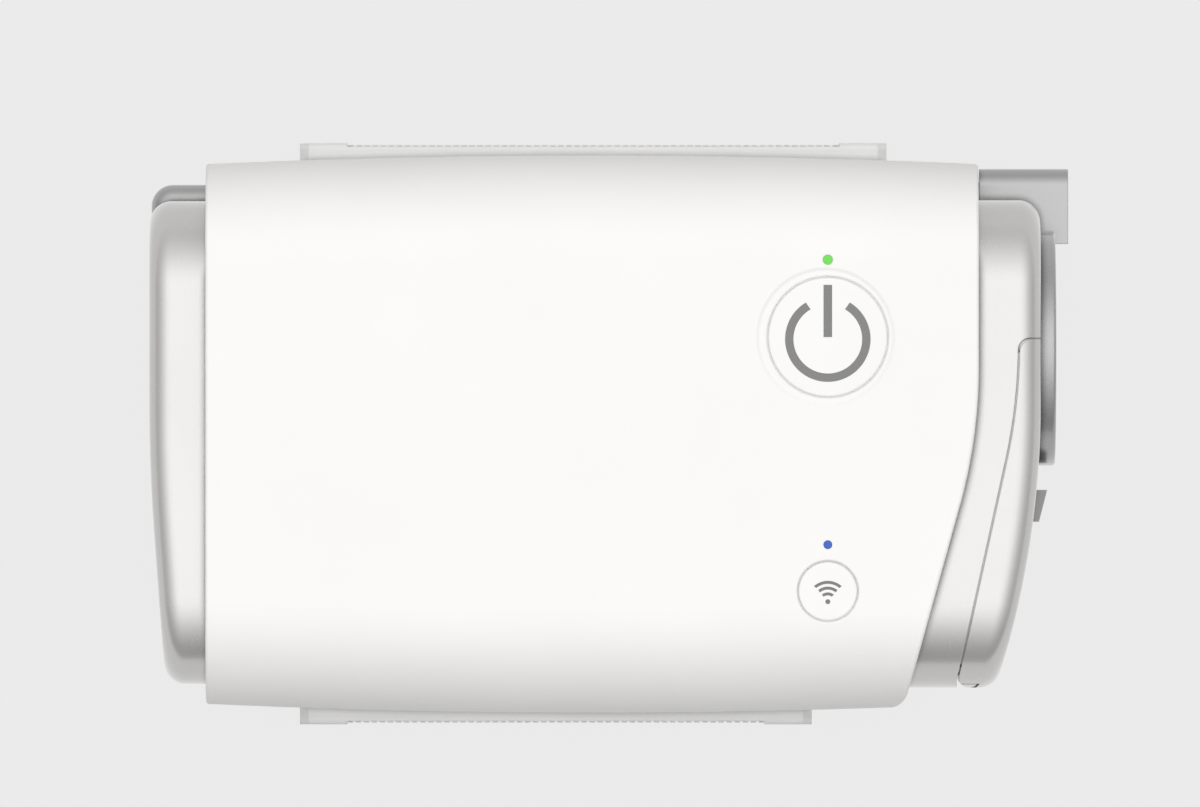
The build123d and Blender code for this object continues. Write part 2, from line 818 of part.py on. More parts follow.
def make_power_inlet_housing():
    corner = block(inlet_start_x, inlet_face_x, inlet_inner_y, far, 0, inlet_top_height)
    half = sleeve_half(sleeve_right_x) - inlet_inset
    radii = (base_corner_radius - inlet_inset, top_corner_radius - inlet_inset)
    section = cross_section(inlet_start_x, -half, half, foot_height + inlet_inset, overall_height, *radii)
    housing = extrude(section, amount=far, dir=(1, 0, 0)) & corner
    long_edges = housing.edges().filter_by(Axis.X, tolerance=2).group_by(Axis.Z)[-1].sort_by(Axis.Y)
    housing = fillet([long_edges[-1]], inlet_shoulder_radius)
    spigot = block(inlet_start_x - inlet_spigot_length, inlet_start_x, inlet_inner_y + fit_gap, far,
                   0, inlet_top_height - inlet_step)
    housing += sleeve_form(shell_wall + floor_gap) & spigot
    half = socket_width / 2
    housing -= block(recess_floor_x, far, socket_y - half, socket_y + half, socket_z - half, socket_z + half)
    return housing - along_x(socket_y, socket_z, lead_hole_radius, 0, recess_floor_x)


def make_dc_socket():
    half = socket_width / 2 - running_gap
    body = block(recess_floor_x, recess_floor_x + socket_insert, socket_y - half, socket_y + half,
                 socket_z - half, socket_z + half)
    for y in contact_rows():
        body -= along_x(y, socket_z, contact_radius + running_gap / 2, 0, far)
    return body


def contact_rows():
    """The two contacts' places across the socket."""
    return [socket_y - contact_pitch / 2, socket_y + contact_pitch / 2]


def make_dc_contacts():
    low = recess_floor_x
    high = recess_floor_x + socket_insert + contact_proud
    return Compound(children=[along_x(y, socket_z, contact_radius, low, high) for y in contact_rows()])


# ------------------------------------------------------------------ buttons and lights
def make_button(y, radius):
    """A button that sits just under the casing's surface, held by a flange below the wall."""
    edge_x = button_x + radius + button_flange
    edge_y = abs(y) + radius + button_flange
    flange_top = min(roof_height(edge_x, y, shell_wall), roof_height(button_x, edge_y, shell_wall)) - fit_gap
    flange_low = flange_top - button_flange_thickness
    face = sleeve_form(button_drop) & upright(button_x, y, radius, flange_low, far)
    face = fillet(mouth_edges(face, y, radius, flange_top), button_edge_radius)
    flange = upright(button_x, y, radius + button_flange, flange_low, flange_top)
    stem = upright(button_x, y, stem_radius, plunger_top, flange_low)
    return face + flange + stem


def make_switch(y):
    """A small push switch with a well for its plunger."""
    half = switch_size / 2
    body = block(button_x - half, button_x + half, y - half, y + half, button_board_top, switch_top)
    return body - upright(button_x, y, plunger_radius + fit_gap, plunger_low - button_travel - fit_gap, far)


def make_plunger(y):
    return upright(button_x, y, plunger_radius, plunger_low, plunger_top)


def make_light_pipe(y, radius):
    """A clear rod from its lamp to the casing's surface, with a collar under the wall."""
    low = button_board_top + lamp_height + floor_gap
    rod = sleeve_form() & upright(button_x, y, radius, low, far)
    collar = radius + light_flange
    collar_top = roof_height(button_x + collar, abs(y) + collar, shell_wall) - running_gap
    return rod + upright(button_x, y, collar, collar_top - button_flange_thickness, collar_top)


def make_indicator_leds():
    half = lamp_height / 2
    lamps = [block(button_x - half, button_x + half, y - half, y + half,
                   button_board_top, button_board_top + lamp_height) for y in (green_light_y, blue_light_y)]
    return Compound(children=lamps)


def make_button_board():
    board_x = button_x - button_board_length / 2
    board = block(board_x, board_x + button_board_length, -board_half_width, board_half_width,
                  button_board_top - board_thickness, button_board_top)
    for x, y in button_board_screws():
        board -= upright(x, y, small_shank + screw_play, 0, far)
    return board


def button_board_screws():
    left = button_x - button_board_length / 2 + board_screw_inset
    side = board_half_width - board_screw_inset
    return [(left, side), (left, -side), (button_x + middle_screw_shift, middle_screw_y)]


# ------------------------------------------------------------------ foot rails
rail_side_y = sleeve_width / 2 + rail_proud
grip_band = (rail_height / 2 - grip_height / 2, rail_height / 2 + grip_height / 2)


def make_rail(side, high_x):
    """A foot rail: full at its two ends, with a shallow waist that carries the grip strip."""
    rail = block(rail_left_x, high_x, rail_side_y - rail_depth, rail_side_y, pad_proud, rail_height)
    rail = chamfer(rail.edges().filter_by(Axis.Y).group_by(Axis.Z)[-1], rail_end_slope)
    outer_edges = rail.faces().sort_by(Axis.Y)[-1].edges()
    rail = fillet([edge for edge in outer_edges if edge.center().Z > rail_height - rail_end_slope],
                  rail_edge_radius)
    waist_low = rail_left_x + rail_end_length
    waist_high = high_x - rail_end_length
    rail -= block(waist_low, waist_high, rail_side_y - rail_waist, far, 0, far)
    rail -= block(waist_low, waist_high, rail_side_y - rail_waist - grip_depth, far, *grip_band)
    if side < 0:
        rail = mirror(rail, about=Plane.XZ)
    for pad in rail_pads(side, high_x, fit_gap / 3):
        rail -= pad
    return rail - outer_form


def make_grip_strip(side, high_x):
    """A rubber strip with fine upright ribs."""
    low_x = rail_left_x + rail_end_length + fit_gap
    end_x = high_x - rail_end_length - fit_gap
    back_y = rail_side_y - rail_waist - grip_depth + fit_gap / 3
    face_y = rail_side_y - grip_recess
    strip = block(low_x, end_x, back_y, face_y, grip_band[0] + fit_gap, grip_band[1] - fit_gap)
    count = int((end_x - low_x) / grip_pitch)
    start = (low_x + end_x) / 2 - (count - 1) * grip_pitch / 2
    for index in range(count):
        x = start + index * grip_pitch
        strip -= block(x - grip_groove / 2, x + grip_groove / 2, face_y - grip_groove, far, 0, far)
    if side < 0:
        strip = mirror(strip, about=Plane.XZ)
    return strip


def rail_pads(side, high_x, grow=0.0):
    """The two rubber pads under one rail, or their seats."""
    pads = []
    for x in (rail_left_x + pad_length, high_x - pad_length):
        y = side * (rail_side_y - rail_depth / 2 + pad_offset)
        size = (pad_length + 2 * grow, pad_width + 2 * grow, pad_thickness + grow)
        pads.append(Pos(x, y, size[2] / 2) * Box(*size))
    return pads


def make_foot_pads():
    return Compound(children=rail_pads(1, rear_rail_right_x) + rail_pads(-1, front_rail_right_x))


# ------------------------------------------------------------------ chassis and boards
plug_face_x = main_board_right_x - plug_inset
ribbon_end_x = button_x - button_board_length / 2 + ribbon_plug_inset
post_places = [(x, y) for x in (main_board_left_x + post_inset, main_board_right_x - post_inset)
               for y in (-board_half_width + post_inset, board_half_width - post_inset)]


def make_chassis():
    """The tray that carries the boards, the blower and the outlet tube."""
    tray = block(chassis_left_x, chassis_right_x, -chassis_half_width, chassis_half_width,
                 floor_low, floor_top)
    for x, y in post_places:
        tray += upright(x, y, post_radius, floor_top, main_board_height)
        tray -= upright(x, y, small_shank + screw_play / 2, main_board_height - post_thread,
                        main_board_height)
    for x, y in mount_places:
        tray += upright(x, y, mount_radius + mount_cup_wall, floor_top, floor_top + mount_cup_height)
        tray -= upright(x, y, mount_radius + running_gap, floor_top, far)
    for x in cradle_places:
        tray += block(x - cradle_thickness / 2, x + cradle_thickness / 2, outlet_y - flow_tube_outer,
                      outlet_y + flow_tube_outer, floor_top, outlet_z)
    tray -= along_x(outlet_y, outlet_z, flow_tube_outer + running_gap, -far, far)
    rib_right_x = foam_left_x - fit_gap
    tray += block(rib_right_x - foam_rib_thickness, rib_right_x, foam_rib_y - foam_rib_width / 2,
                  foam_rib_y + foam_rib_width / 2, floor_top, floor_top + foam_rib_height)
    return tray


def make_main_board():
    board = block(main_board_left_x, main_board_right_x, -board_half_width, board_half_width,
                  main_board_height, main_board_top)
    for x, y in post_places:
        board -= upright(x, y, small_shank + screw_play, 0, far)
    return board


def make_board_chips():
    """Square chips in a row along the board."""
    chips = []
    for index, size in enumerate(chip_sizes):
        x = main_board_left_x + chip_start + index * chip_pitch
        y = (-1) ** index * chip_row_y
        chips.append(Pos(x, y, main_board_top + chip_height / 2) * Box(size, size, chip_height))
    return Compound(children=chips)


def make_board_capacitors():
    cans = []
    for index in range(capacitor_count):
        x = main_board_left_x + capacitor_start + index * capacitor_pitch
        can = upright(x, capacitor_y, capacitor_radius, main_board_top, main_board_top + capacitor_height)
        cans.append(fillet(can.edges().group_by(Axis.Z)[-1], capacitor_edge_radius))
    return Compound(children=cans)


def make_board_connectors():
    power = block(plug_face_x - plug_length, plug_face_x, power_plug_y - plug_width / 2,
                  power_plug_y + plug_width / 2, main_board_top, main_board_top + connector_height)
    band = (ribbon_y - ribbon_plug_width / 2, ribbon_y + ribbon_plug_width / 2)
    flat = block(plug_face_x - ribbon_plug_length, plug_face_x, *band,
                 main_board_top, main_board_top + ribbon_plug_height)
    upper = block(ribbon_end_x, ribbon_end_x + ribbon_plug_length, *band,
                  button_board_top, button_board_top + ribbon_plug_height)
    return Compound(children=[power, flat, upper])


def make_ribbon_cable():
    """The flat cable between the two boards."""
    start = (plug_face_x, main_board_top + ribbon_plug_height / 2)
    end = (ribbon_end_x, button_board_top + ribbon_plug_height / 2)
    step = (end[0] - start[0]) / 4
    route = [start, (start[0] + step, start[1]), (end[0] - step, end[1]), end]
    flat = trace(FilletPolyline(*route, radius=min(ribbon_bend, step)), ribbon_thickness)
    edge_plane = Plane(origin=(0, ribbon_y + ribbon_width / 2, 0), x_dir=(1, 0, 0), z_dir=(0, -1, 0))
    return extrude(edge_plane * flat, amount=ribbon_width, dir=(0, -1, 0))


def make_power_leads():
    """Two leads from the socket to the main board."""
    leads = []
    for shift in (-lead_pitch / 2, lead_pitch / 2):
        run_x = sleeve_right_x - lead_turn
        rise_x = main_board_right_x + lead_rise
        top = main_board_top + connector_height / 2
        route = [(recess_floor_x, socket_y, socket_z + shift), (run_x - shift, socket_y, socket_z + shift),
                 (run_x - shift, lead_y, socket_z + shift), (rise_x + shift, lead_y, socket_z + shift),
                 (rise_x + shift, lead_y, top + shift), (rise_x + shift, power_plug_y, top + shift),
                 (plug_face_x, power_plug_y, top + shift)]
        leads.append(tube(route, lead_radius, lead_bend))
    return Compound(children=leads)


# ------------------------------------------------------------------ blower
exit_top_y = outlet_y + exit_width / 2
scroll_radii = [impeller_radius + impeller_gap + scroll_step * turn for turn in range(4)]
blower_y = exit_top_y - scroll_step - scroll_radii[3]
scroll_low = outlet_z - scroll_height / 2
scroll_high = outlet_z + scroll_height / 2
volute_low = scroll_low - volute_wall
volute_high = scroll_high + volute_wall
can_low = floor_top + can_floor_gap
plate_top = scroll_low + impeller_floor_gap + plate_thickness
mount_places = [(blower_x + x, blower_y + y)
                for x in (-leg_reach, leg_reach) for y in (-leg_reach, leg_reach)]
exit_x = main_board_right_x - exit_setback
mount_top = floor_top + mount_height
ear_cos = math.cos(math.radians(ear_angle))
ear_sin = math.sin(math.radians(ear_angle))
ear_places = [
    (blower_x - scroll_step, blower_y + scroll_step - scroll_radii[2], 0, -1),
    (blower_x - scroll_step - scroll_radii[2], blower_y, -1, 0),
    (blower_x - scroll_step + scroll_radii[1] * ear_cos, blower_y - scroll_radii[1] * ear_sin,
     ear_cos, -ear_sin),
    (blower_x - scroll_radii[3] * ear_sin, blower_y + scroll_step + scroll_radii[3] * ear_cos,
     -ear_sin, ear_cos)]


def scroll(grow, low, high, exit_x):
    """The scroll's plan, in four quarter arcs that open step by step into the exit."""
    x, y, step = blower_x, blower_y, scroll_step
    centres = [(x, y), (x - step, y), (x - step, y + step), (x, y + step)]
    arcs = [CenterArc(centres[turn], scroll_radii[turn] + grow, 90 - 90 * turn, -90) for turn in range(4)]
    form = prism(arcs + [Line(arcs[3] @ 1, arcs[0] @ 0)], low, high)
    return form + block(x, exit_x, exit_top_y - exit_width - grow, exit_top_y + grow, low, high)


def ears(radius, low, high):
    """The screw ears round the scroll."""
    reach = volute_wall + ear_reach
    return [upright(x + out_x * reach, y + out_y * reach, radius, low, high)
            for x, y, out_x, out_y in ear_places]


def make_volute_base():
    base = scroll(volute_wall, volute_low, outlet_z, exit_x)
    for ear in ears(ear_radius, outlet_z - ear_height, outlet_z):
        base += ear
    base -= scroll(0, scroll_low, outlet_z, exit_x + overcut)
    for hole in ears(small_shank + screw_play / 2, outlet_z - ear_height, outlet_z):
        base -= hole
    base += upright(blower_x, blower_y, bearing_radius + can_wall, volute_low - bearing_width, volute_low)
    base -= upright(blower_x, blower_y, bearing_radius + press_gap, volute_low - bearing_width, volute_low)
    base -= upright(blower_x, blower_y, shaft_radius + shaft_clearance, 0, far)
    for x, y in mount_places:
        base += upright(x, y, leg_radius, mount_top, volute_low)
        base += upright(x, y, leg_radius / 2, mount_top - leg_pin, mount_top)
    return base


def make_volute_cover():
    cover = scroll(volute_wall, outlet_z, volute_high, exit_x)
    for ear in ears(ear_radius, outlet_z, outlet_z + ear_height):
        cover += ear
    cover += upright(blower_x, blower_y, eye_radius + volute_wall, volute_high, volute_high + eye_collar)
    cover -= scroll(0, outlet_z, scroll_high, exit_x + overcut)
    for hole in ears(small_shank + screw_play, outlet_z, outlet_z + ear_height):
        cover -= hole
    return cover - upright(blower_x, blower_y, eye_radius, outlet_z, far)


def make_blower_mounts():
    mounts = []
    for x, y in mount_places:
        mount = upright(x, y, mount_radius, floor_top, mount_top)
        hole_low = mount_top - leg_pin - leg_pin_spare
        mounts.append(mount - upright(x, y, leg_radius / 2 + running_gap, hole_low, mount_top))
    return Compound(children=mounts)


def make_impeller():
    """A backplate with backward-curved blades round a hub."""
    low = scroll_low + impeller_floor_gap
    top = plate_top + blade_height
    wheel = upright(0, 0, impeller_radius, low, plate_top)
    wheel += upright(0, 0, hub_radius, low, plate_top + hub_height)
    tip = impeller_radius - blade_tip_setback
    arc = ThreePointArc((hub_radius + blade_root_gap, 0), polar(tip * blade_mid_share, blade_mid_angle),
                        polar(tip, blade_tip_angle))
    blade = extrude(Pos(0, 0, low) * trace(arc, blade_thickness), amount=top - low)
    envelope = upright(0, 0, impeller_radius, low, top - blade_slope)
    slope = Cone(impeller_radius, hub_radius + blade_eye_margin, blade_slope)
    envelope += Pos(0, 0, top - blade_slope / 2) * slope
    blade &= envelope
    for index in range(blade_count):
        wheel += Rot(0, 0, 360 * index / blade_count) * blade
    wheel -= upright(0, 0, shaft_radius + bond_gap, 0, far)
    return Pos(blower_x, blower_y, 0) * wheel


def coaxial(radius, low, high):
    """A cylinder on the rotor's axis."""
    return upright(blower_x, blower_y, radius, low, high)


def make_motor_shaft():
    return coaxial(shaft_radius, can_low + can_wall + shaft_end_gap, plate_top + hub_height)


def bearing_bands():
    lower = can_low + can_wall
    return [(lower, lower + bearing_width), (volute_low - bearing_width, volute_low)]


def make_bearing_outer_races():
    rings = []
    for low, high in bearing_bands():
        ring = coaxial(bearing_radius, low, high)
        rings.append(ring - coaxial(bearing_split_radius, low, high))
    return Compound(children=rings)


def make_bearing_inner_races():
    rings = []
    for low, high in bearing_bands():
        ring = coaxial(bearing_split_radius - running_gap, low + race_inset, high - race_inset)
        rings.append(ring - coaxial(shaft_radius + bond_gap, low, high))
    return Compound(children=rings)


def make_motor_can():
    can = coaxial(can_radius, can_low, volute_low)
    can -= coaxial(can_radius - can_wall, can_low + can_wall, volute_low)
    can += coaxial(bearing_radius + can_wall, can_low, can_low + can_wall + bearing_width)
    return can - coaxial(bearing_radius + press_gap, can_low + can_wall, far)


stator_mid = (can_low + volute_low) / 2
stator_radius = can_radius - can_wall - running_gap


def make_rotor_magnet():
    low = can_low + can_wall + bearing_width + magnet_gap
    high = volute_low - bearing_width - magnet_gap
    magnet = coaxial(magnet_radius, low, high)
    return magnet - coaxial(shaft_radius + bond_gap, low, high)


def make_motor_stator():
    low, high = stator_mid - stator_height / 2, stator_mid + stator_height / 2
    ring = upright(0, 0, stator_radius, low, high) - upright(0, 0, stator_radius - stator_back, low, high)
    bore = magnet_radius + air_gap
    root = stator_radius - stator_back / 2
    for index in range(stator_slots):
        tooth = block(bore - overcut, root, -tooth_width / 2, tooth_width / 2, low, high)
        ring += Rot(0, 0, 360 * index / stator_slots) * tooth
    return Pos(blower_x, blower_y, 0) * (ring - upright(0, 0, bore, low, high))


def make_motor_coils():
    low, high = stator_mid - stator_height / 2, stator_mid + stator_height / 2
    inner = magnet_radius + air_gap + coil_shoe
    half = tooth_width / 2 + coil_depth
    outer = math.sqrt((stator_radius - stator_back) ** 2 - half ** 2) - running_gap
    coil = block(inner, outer, -half, half, low - coil_depth, high + coil_depth)
    bore_half = tooth_width / 2 + running_gap
    coil -= block(inner - overcut, outer + overcut, -bore_half, bore_half,
                  low - running_gap, high + running_gap)
    coils = [Pos(blower_x, blower_y, 0) * Rot(0, 0, 360 * index / stator_slots) * coil
             for index in range(stator_slots)]
    return Compound(children=coils)


def make_motor_leads():
    """Three leads from the motor can up past the scroll to the main board."""
    leads = []
    low_y = blower_y - scroll_radii[1] - volute_wall - motor_lead_reach
    high_z = main_board_top + motor_lead_rise
    for index in range(motor_lead_count):
        x = blower_x + can_radius / 2 + index * 3 * motor_lead_radius
        across = x - blower_x - motor_lead_radius
        start_y = blower_y - math.sqrt(can_radius ** 2 - across ** 2) - running_gap
        route = [(x, start_y, stator_mid), (x, low_y, stator_mid), (x, low_y, high_z),
                 (x, -board_half_width + motor_lead_end, high_z)]
        leads.append(tube(route, motor_lead_radius, motor_lead_bend))
    return Compound(children=leads)


# ------------------------------------------------------------------ air path
foam_left_x = main_board_right_x + foam_setback
foam_right_x = outlet_cap_start - foam_end_gap
cradle_places = [foam_left_x + cradle_inset, foam_right_x - cradle_inset]
tube_left_x = main_board_right_x - plug_inset
duct_low_y = seam_corner_y + filter_bottom * lean_cos - duct_reach
duct_high_y = seam_corner_y + (filter_bottom + filter_length) * lean_cos


def make_flow_tube():
    tube_body = along_x(outlet_y, outlet_z, flow_tube_outer, tube_left_x, outlet_floor_x)
    return tube_body - along_x(outlet_y, outlet_z, flow_tube_radius, -far, far)


def make_outlet_bellows():
    """The soft sleeve from the scroll's square exit to the round flow tube."""
    square_x = exit_x - bellows_grip
    round_x = tube_left_x + bellows_grip
    wide = exit_width + 2 * volute_wall + 2 * running_gap
    tall = scroll_height + 2 * volute_wall + 2 * running_gap
    outer = bellows_form(square_x, round_x, wide + 2 * bellows_wall, tall + 2 * bellows_wall,
                         flow_tube_outer + bellows_wall)
    inner = bellows_form(exit_x, tube_left_x + overcut, exit_width, scroll_height, flow_tube_radius)
    grip = Pos((square_x + exit_x) / 2, outlet_y, outlet_z) * Box(bellows_grip, wide, tall)
    outer -= grip
    outer -= along_x(outlet_y, outlet_z, flow_tube_outer + running_gap, tube_left_x, round_x)
    return outer - inner


def bellows_form(low_x, high_x, wide, tall, radius):
    """A square end and a round end joined by a smooth taper."""
    def across(x, shape):
        return Plane(origin=(x, outlet_y, outlet_z), x_dir=(0, 1, 0), z_dir=(1, 0, 0)) * shape
    square = RectangleRounded(wide, tall, bellows_corner_radius)
    body = extrude(across(low_x, square), amount=exit_x - low_x + overcut, dir=(1, 0, 0))
    body += loft([across(exit_x + overcut, square), across(tube_left_x, Circle(radius))])
    return body + extrude(across(tube_left_x, Circle(radius)), amount=high_x - tube_left_x, dir=(1, 0, 0))


def make_flow_sensor():
    mid = (foam_left_x + foam_right_x) / 2
    body = block(mid - sensor_length / 2, mid + sensor_length / 2, outlet_y - sensor_width / 2,
                 outlet_y + sensor_width / 2, outlet_z, outlet_z + flow_tube_outer + sensor_height)
    return body - along_x(outlet_y, outlet_z, flow_tube_outer + running_gap, -far, far)


def make_silencer_foam():
    side_y = outlet_y - flow_tube_outer - bellows_wall - foam_gap
    foam = block(foam_left_x, foam_right_x, -board_half_width + foam_gap, side_y,
                 floor_top + foam_seat_gap, main_board_height - foam_under_board)
    return foam - block(-far, far, duct_low_y + foam_channel_inset, duct_high_y - foam_channel_inset,
                        outlet_z - foam_channel_height / 2, outlet_z + foam_channel_height / 2)


def make_inlet_duct():
    """The rectangular duct from the filter's window to the foam."""
    half = filter_height / 2
    duct = block(foam_right_x + fit_gap, far, duct_low_y, duct_high_y, outlet_z - half, outlet_z + half)
    duct -= block(-far, far, duct_low_y + duct_wall, duct_high_y - duct_wall,
                  outlet_z - half + duct_wall, outlet_z + half - duct_wall)
    back = -filter_clearance - bulkhead_wall - fit_gap
    return duct - seam_frame * Pos(back + far / 2, 0, 0) * Box(far, far, far)


# ------------------------------------------------------------------ screws
def screw(x, y, head_low, side, shank, head_radius, head_height, length):
    """A pan-head screw standing upright, its head below (side -1) or above (side 1) its shank."""
    head = upright(x, y, head_radius, head_low, head_low + head_height)
    if side < 0:
        return head + upright(x, y, shank, head_low + head_height, head_low + head_height + length)
    return head + upright(x, y, shank, head_low - length, head_low)


def make_case_screws():
    seat = shell_base_inside
    screws = [screw(x, y, seat, -1, screw_shank, screw_head_radius, screw_head_height, case_screw_length)
              for x, y in screw_places]
    return Compound(children=screws)


def make_board_screws():
    form = (small_shank, small_head_radius, small_head_height, board_screw_length)
    main = [screw(x, y, main_board_top, 1, *form) for x, y in post_places]
    low = button_board_top - board_thickness - small_head_height
    upper = [screw(x, y, low, -1, *form) for x, y in button_board_screws()]
    return Compound(children=main + upper)


def make_blower_screws():
    screws = []
    reach = volute_wall + ear_reach
    for x, y, out_x, out_y in ear_places:
        screws.append(screw(x + out_x * reach, y + out_y * reach, outlet_z + ear_height, 1, small_shank,
                            small_head_radius, small_head_height, blower_screw_length))
    return Compound(children=screws)


# ------------------------------------------------------------------ every piece
parts = {
    "top_shell": make_top_shell,
    "base_shell": make_base_shell,
    "left_end_cap": make_left_end_cap,
    "left_end_base": make_left_end_base,
    "outlet_end_cap": make_outlet_end_cap,
    "filter_cover": make_filter_cover,
    "cover_tab": make_cover_tab,
    "air_filter": make_air_filter,
    "filter_gasket": make_filter_gasket,
    "cover_hinge_pin": make_cover_hinge_pin,
    "outlet_ring": make_outlet_ring,
    "outlet_seal": make_outlet_seal,
    "power_inlet_housing": make_power_inlet_housing,
    "dc_socket": make_dc_socket,
    "dc_contacts": make_dc_contacts,
    "power_button": lambda: make_button(power_button_y, power_button_radius),
    "wireless_button": lambda: make_button(wireless_button_y, wireless_button_radius),
    "power_switch": lambda: make_switch(power_button_y),
    "wireless_switch": lambda: make_switch(wireless_button_y),
    "power_switch_plunger": lambda: make_plunger(power_button_y),
    "wireless_switch_plunger": lambda: make_plunger(wireless_button_y),
    "green_light_pipe": lambda: make_light_pipe(green_light_y, green_light_radius),
    "blue_light_pipe": lambda: make_light_pipe(blue_light_y, blue_light_radius),
    "indicator_leds": make_indicator_leds,
    "button_board": make_button_board,
    "rear_foot_rail": lambda: make_rail(1, rear_rail_right_x),
    "front_foot_rail": lambda: make_rail(-1, front_rail_right_x),
    "rear_grip_strip": lambda: make_grip_strip(1, rear_rail_right_x),
    "front_grip_strip": lambda: make_grip_strip(-1, front_rail_right_x),
    "foot_pads": make_foot_pads,
    "chassis": make_chassis,
    "main_board": make_main_board,
    "board_chips": make_board_chips,
    "board_capacitors": make_board_capacitors,
    "board_connectors": make_board_connectors,
    "ribbon_cable": make_ribbon_cable,
    "power_leads": make_power_leads,
    "volute_base": make_volute_base,
    "volute_cover": make_volute_cover,
    "blower_mounts": make_blower_mounts,
    "impeller": make_impeller,
    "motor_shaft": make_motor_shaft,
    "bearing_outer_races": make_bearing_outer_races,
    "bearing_inner_races": make_bearing_inner_races,
    "motor_can": make_motor_can,
    "rotor_magnet": make_rotor_magnet,
    "motor_stator": make_motor_stator,
    "motor_coils": make_motor_coils,
    "motor_leads": make_motor_leads,
    "flow_tube": make_flow_tube,
    "outlet_bellows": make_outlet_bellows,
    "flow_sensor": make_flow_sensor,
    "silencer_foam": make_silencer_foam,
    "inlet_duct": make_inlet_duct,
    "case_screws": make_case_screws,
    "board_screws": make_board_screws,
    "blower_screws": make_blower_screws,
}

if __name__ == "__main__":
    os.makedirs("parts", exist_ok=True)
    for name, make in parts.items():
        export_step(make(), f"parts/{name}.step")
        print(name)
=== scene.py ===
import bpy
import math
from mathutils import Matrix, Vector
from mathutils.bvhtree import BVHTree


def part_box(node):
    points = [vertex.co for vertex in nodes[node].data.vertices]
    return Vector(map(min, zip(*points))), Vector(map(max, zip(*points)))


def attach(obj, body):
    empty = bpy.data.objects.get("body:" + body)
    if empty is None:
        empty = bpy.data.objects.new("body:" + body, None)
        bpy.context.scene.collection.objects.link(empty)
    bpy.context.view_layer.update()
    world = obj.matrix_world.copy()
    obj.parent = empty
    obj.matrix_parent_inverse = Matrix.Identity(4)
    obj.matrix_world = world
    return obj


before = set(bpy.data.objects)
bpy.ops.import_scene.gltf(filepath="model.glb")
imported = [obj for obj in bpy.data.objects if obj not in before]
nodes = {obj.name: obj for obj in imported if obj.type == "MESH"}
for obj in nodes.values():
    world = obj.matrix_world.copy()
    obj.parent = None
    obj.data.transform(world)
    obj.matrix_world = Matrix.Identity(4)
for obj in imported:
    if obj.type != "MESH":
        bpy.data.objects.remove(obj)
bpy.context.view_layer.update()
mm = 0.001
print("frame loaded:", len(nodes), "nodes")


# Shader building: a Signal is one output socket, a Finish is one material.
class Signal:
    def __init__(self, finish, socket):
        self.finish = finish
        self.socket = socket

    def math(self, operation, first, second):
        return self.finish.node("ShaderNodeMath", {"operation": operation}, {0: first, 1: second})

    def __add__(self, other):
        return self.math("ADD", self, other)

    def __radd__(self, other):
        return self.math("ADD", other, self)

    def __sub__(self, other):
        return self.math("SUBTRACT", self, other)

    def __rsub__(self, other):
        return self.math("SUBTRACT", other, self)

    def __mul__(self, other):
        return self.math("MULTIPLY", self, other)

    def __pow__(self, other):
        return self.math("POWER", self, other)


def opaque(value):  # a colour as its socket wants it
    return (*value, 1.0) if isinstance(value, tuple) else value


# in the settings a noise is its scale, detail and roughness, a form is the last two of these, and a rise is
# the two levels between which a value goes from 0 to 1
edgeShading = {"samples": 4, "rise": (0.01, 0.2)}
creviceShading = {"samples": 6, "rise": (0.08, 0.5)}


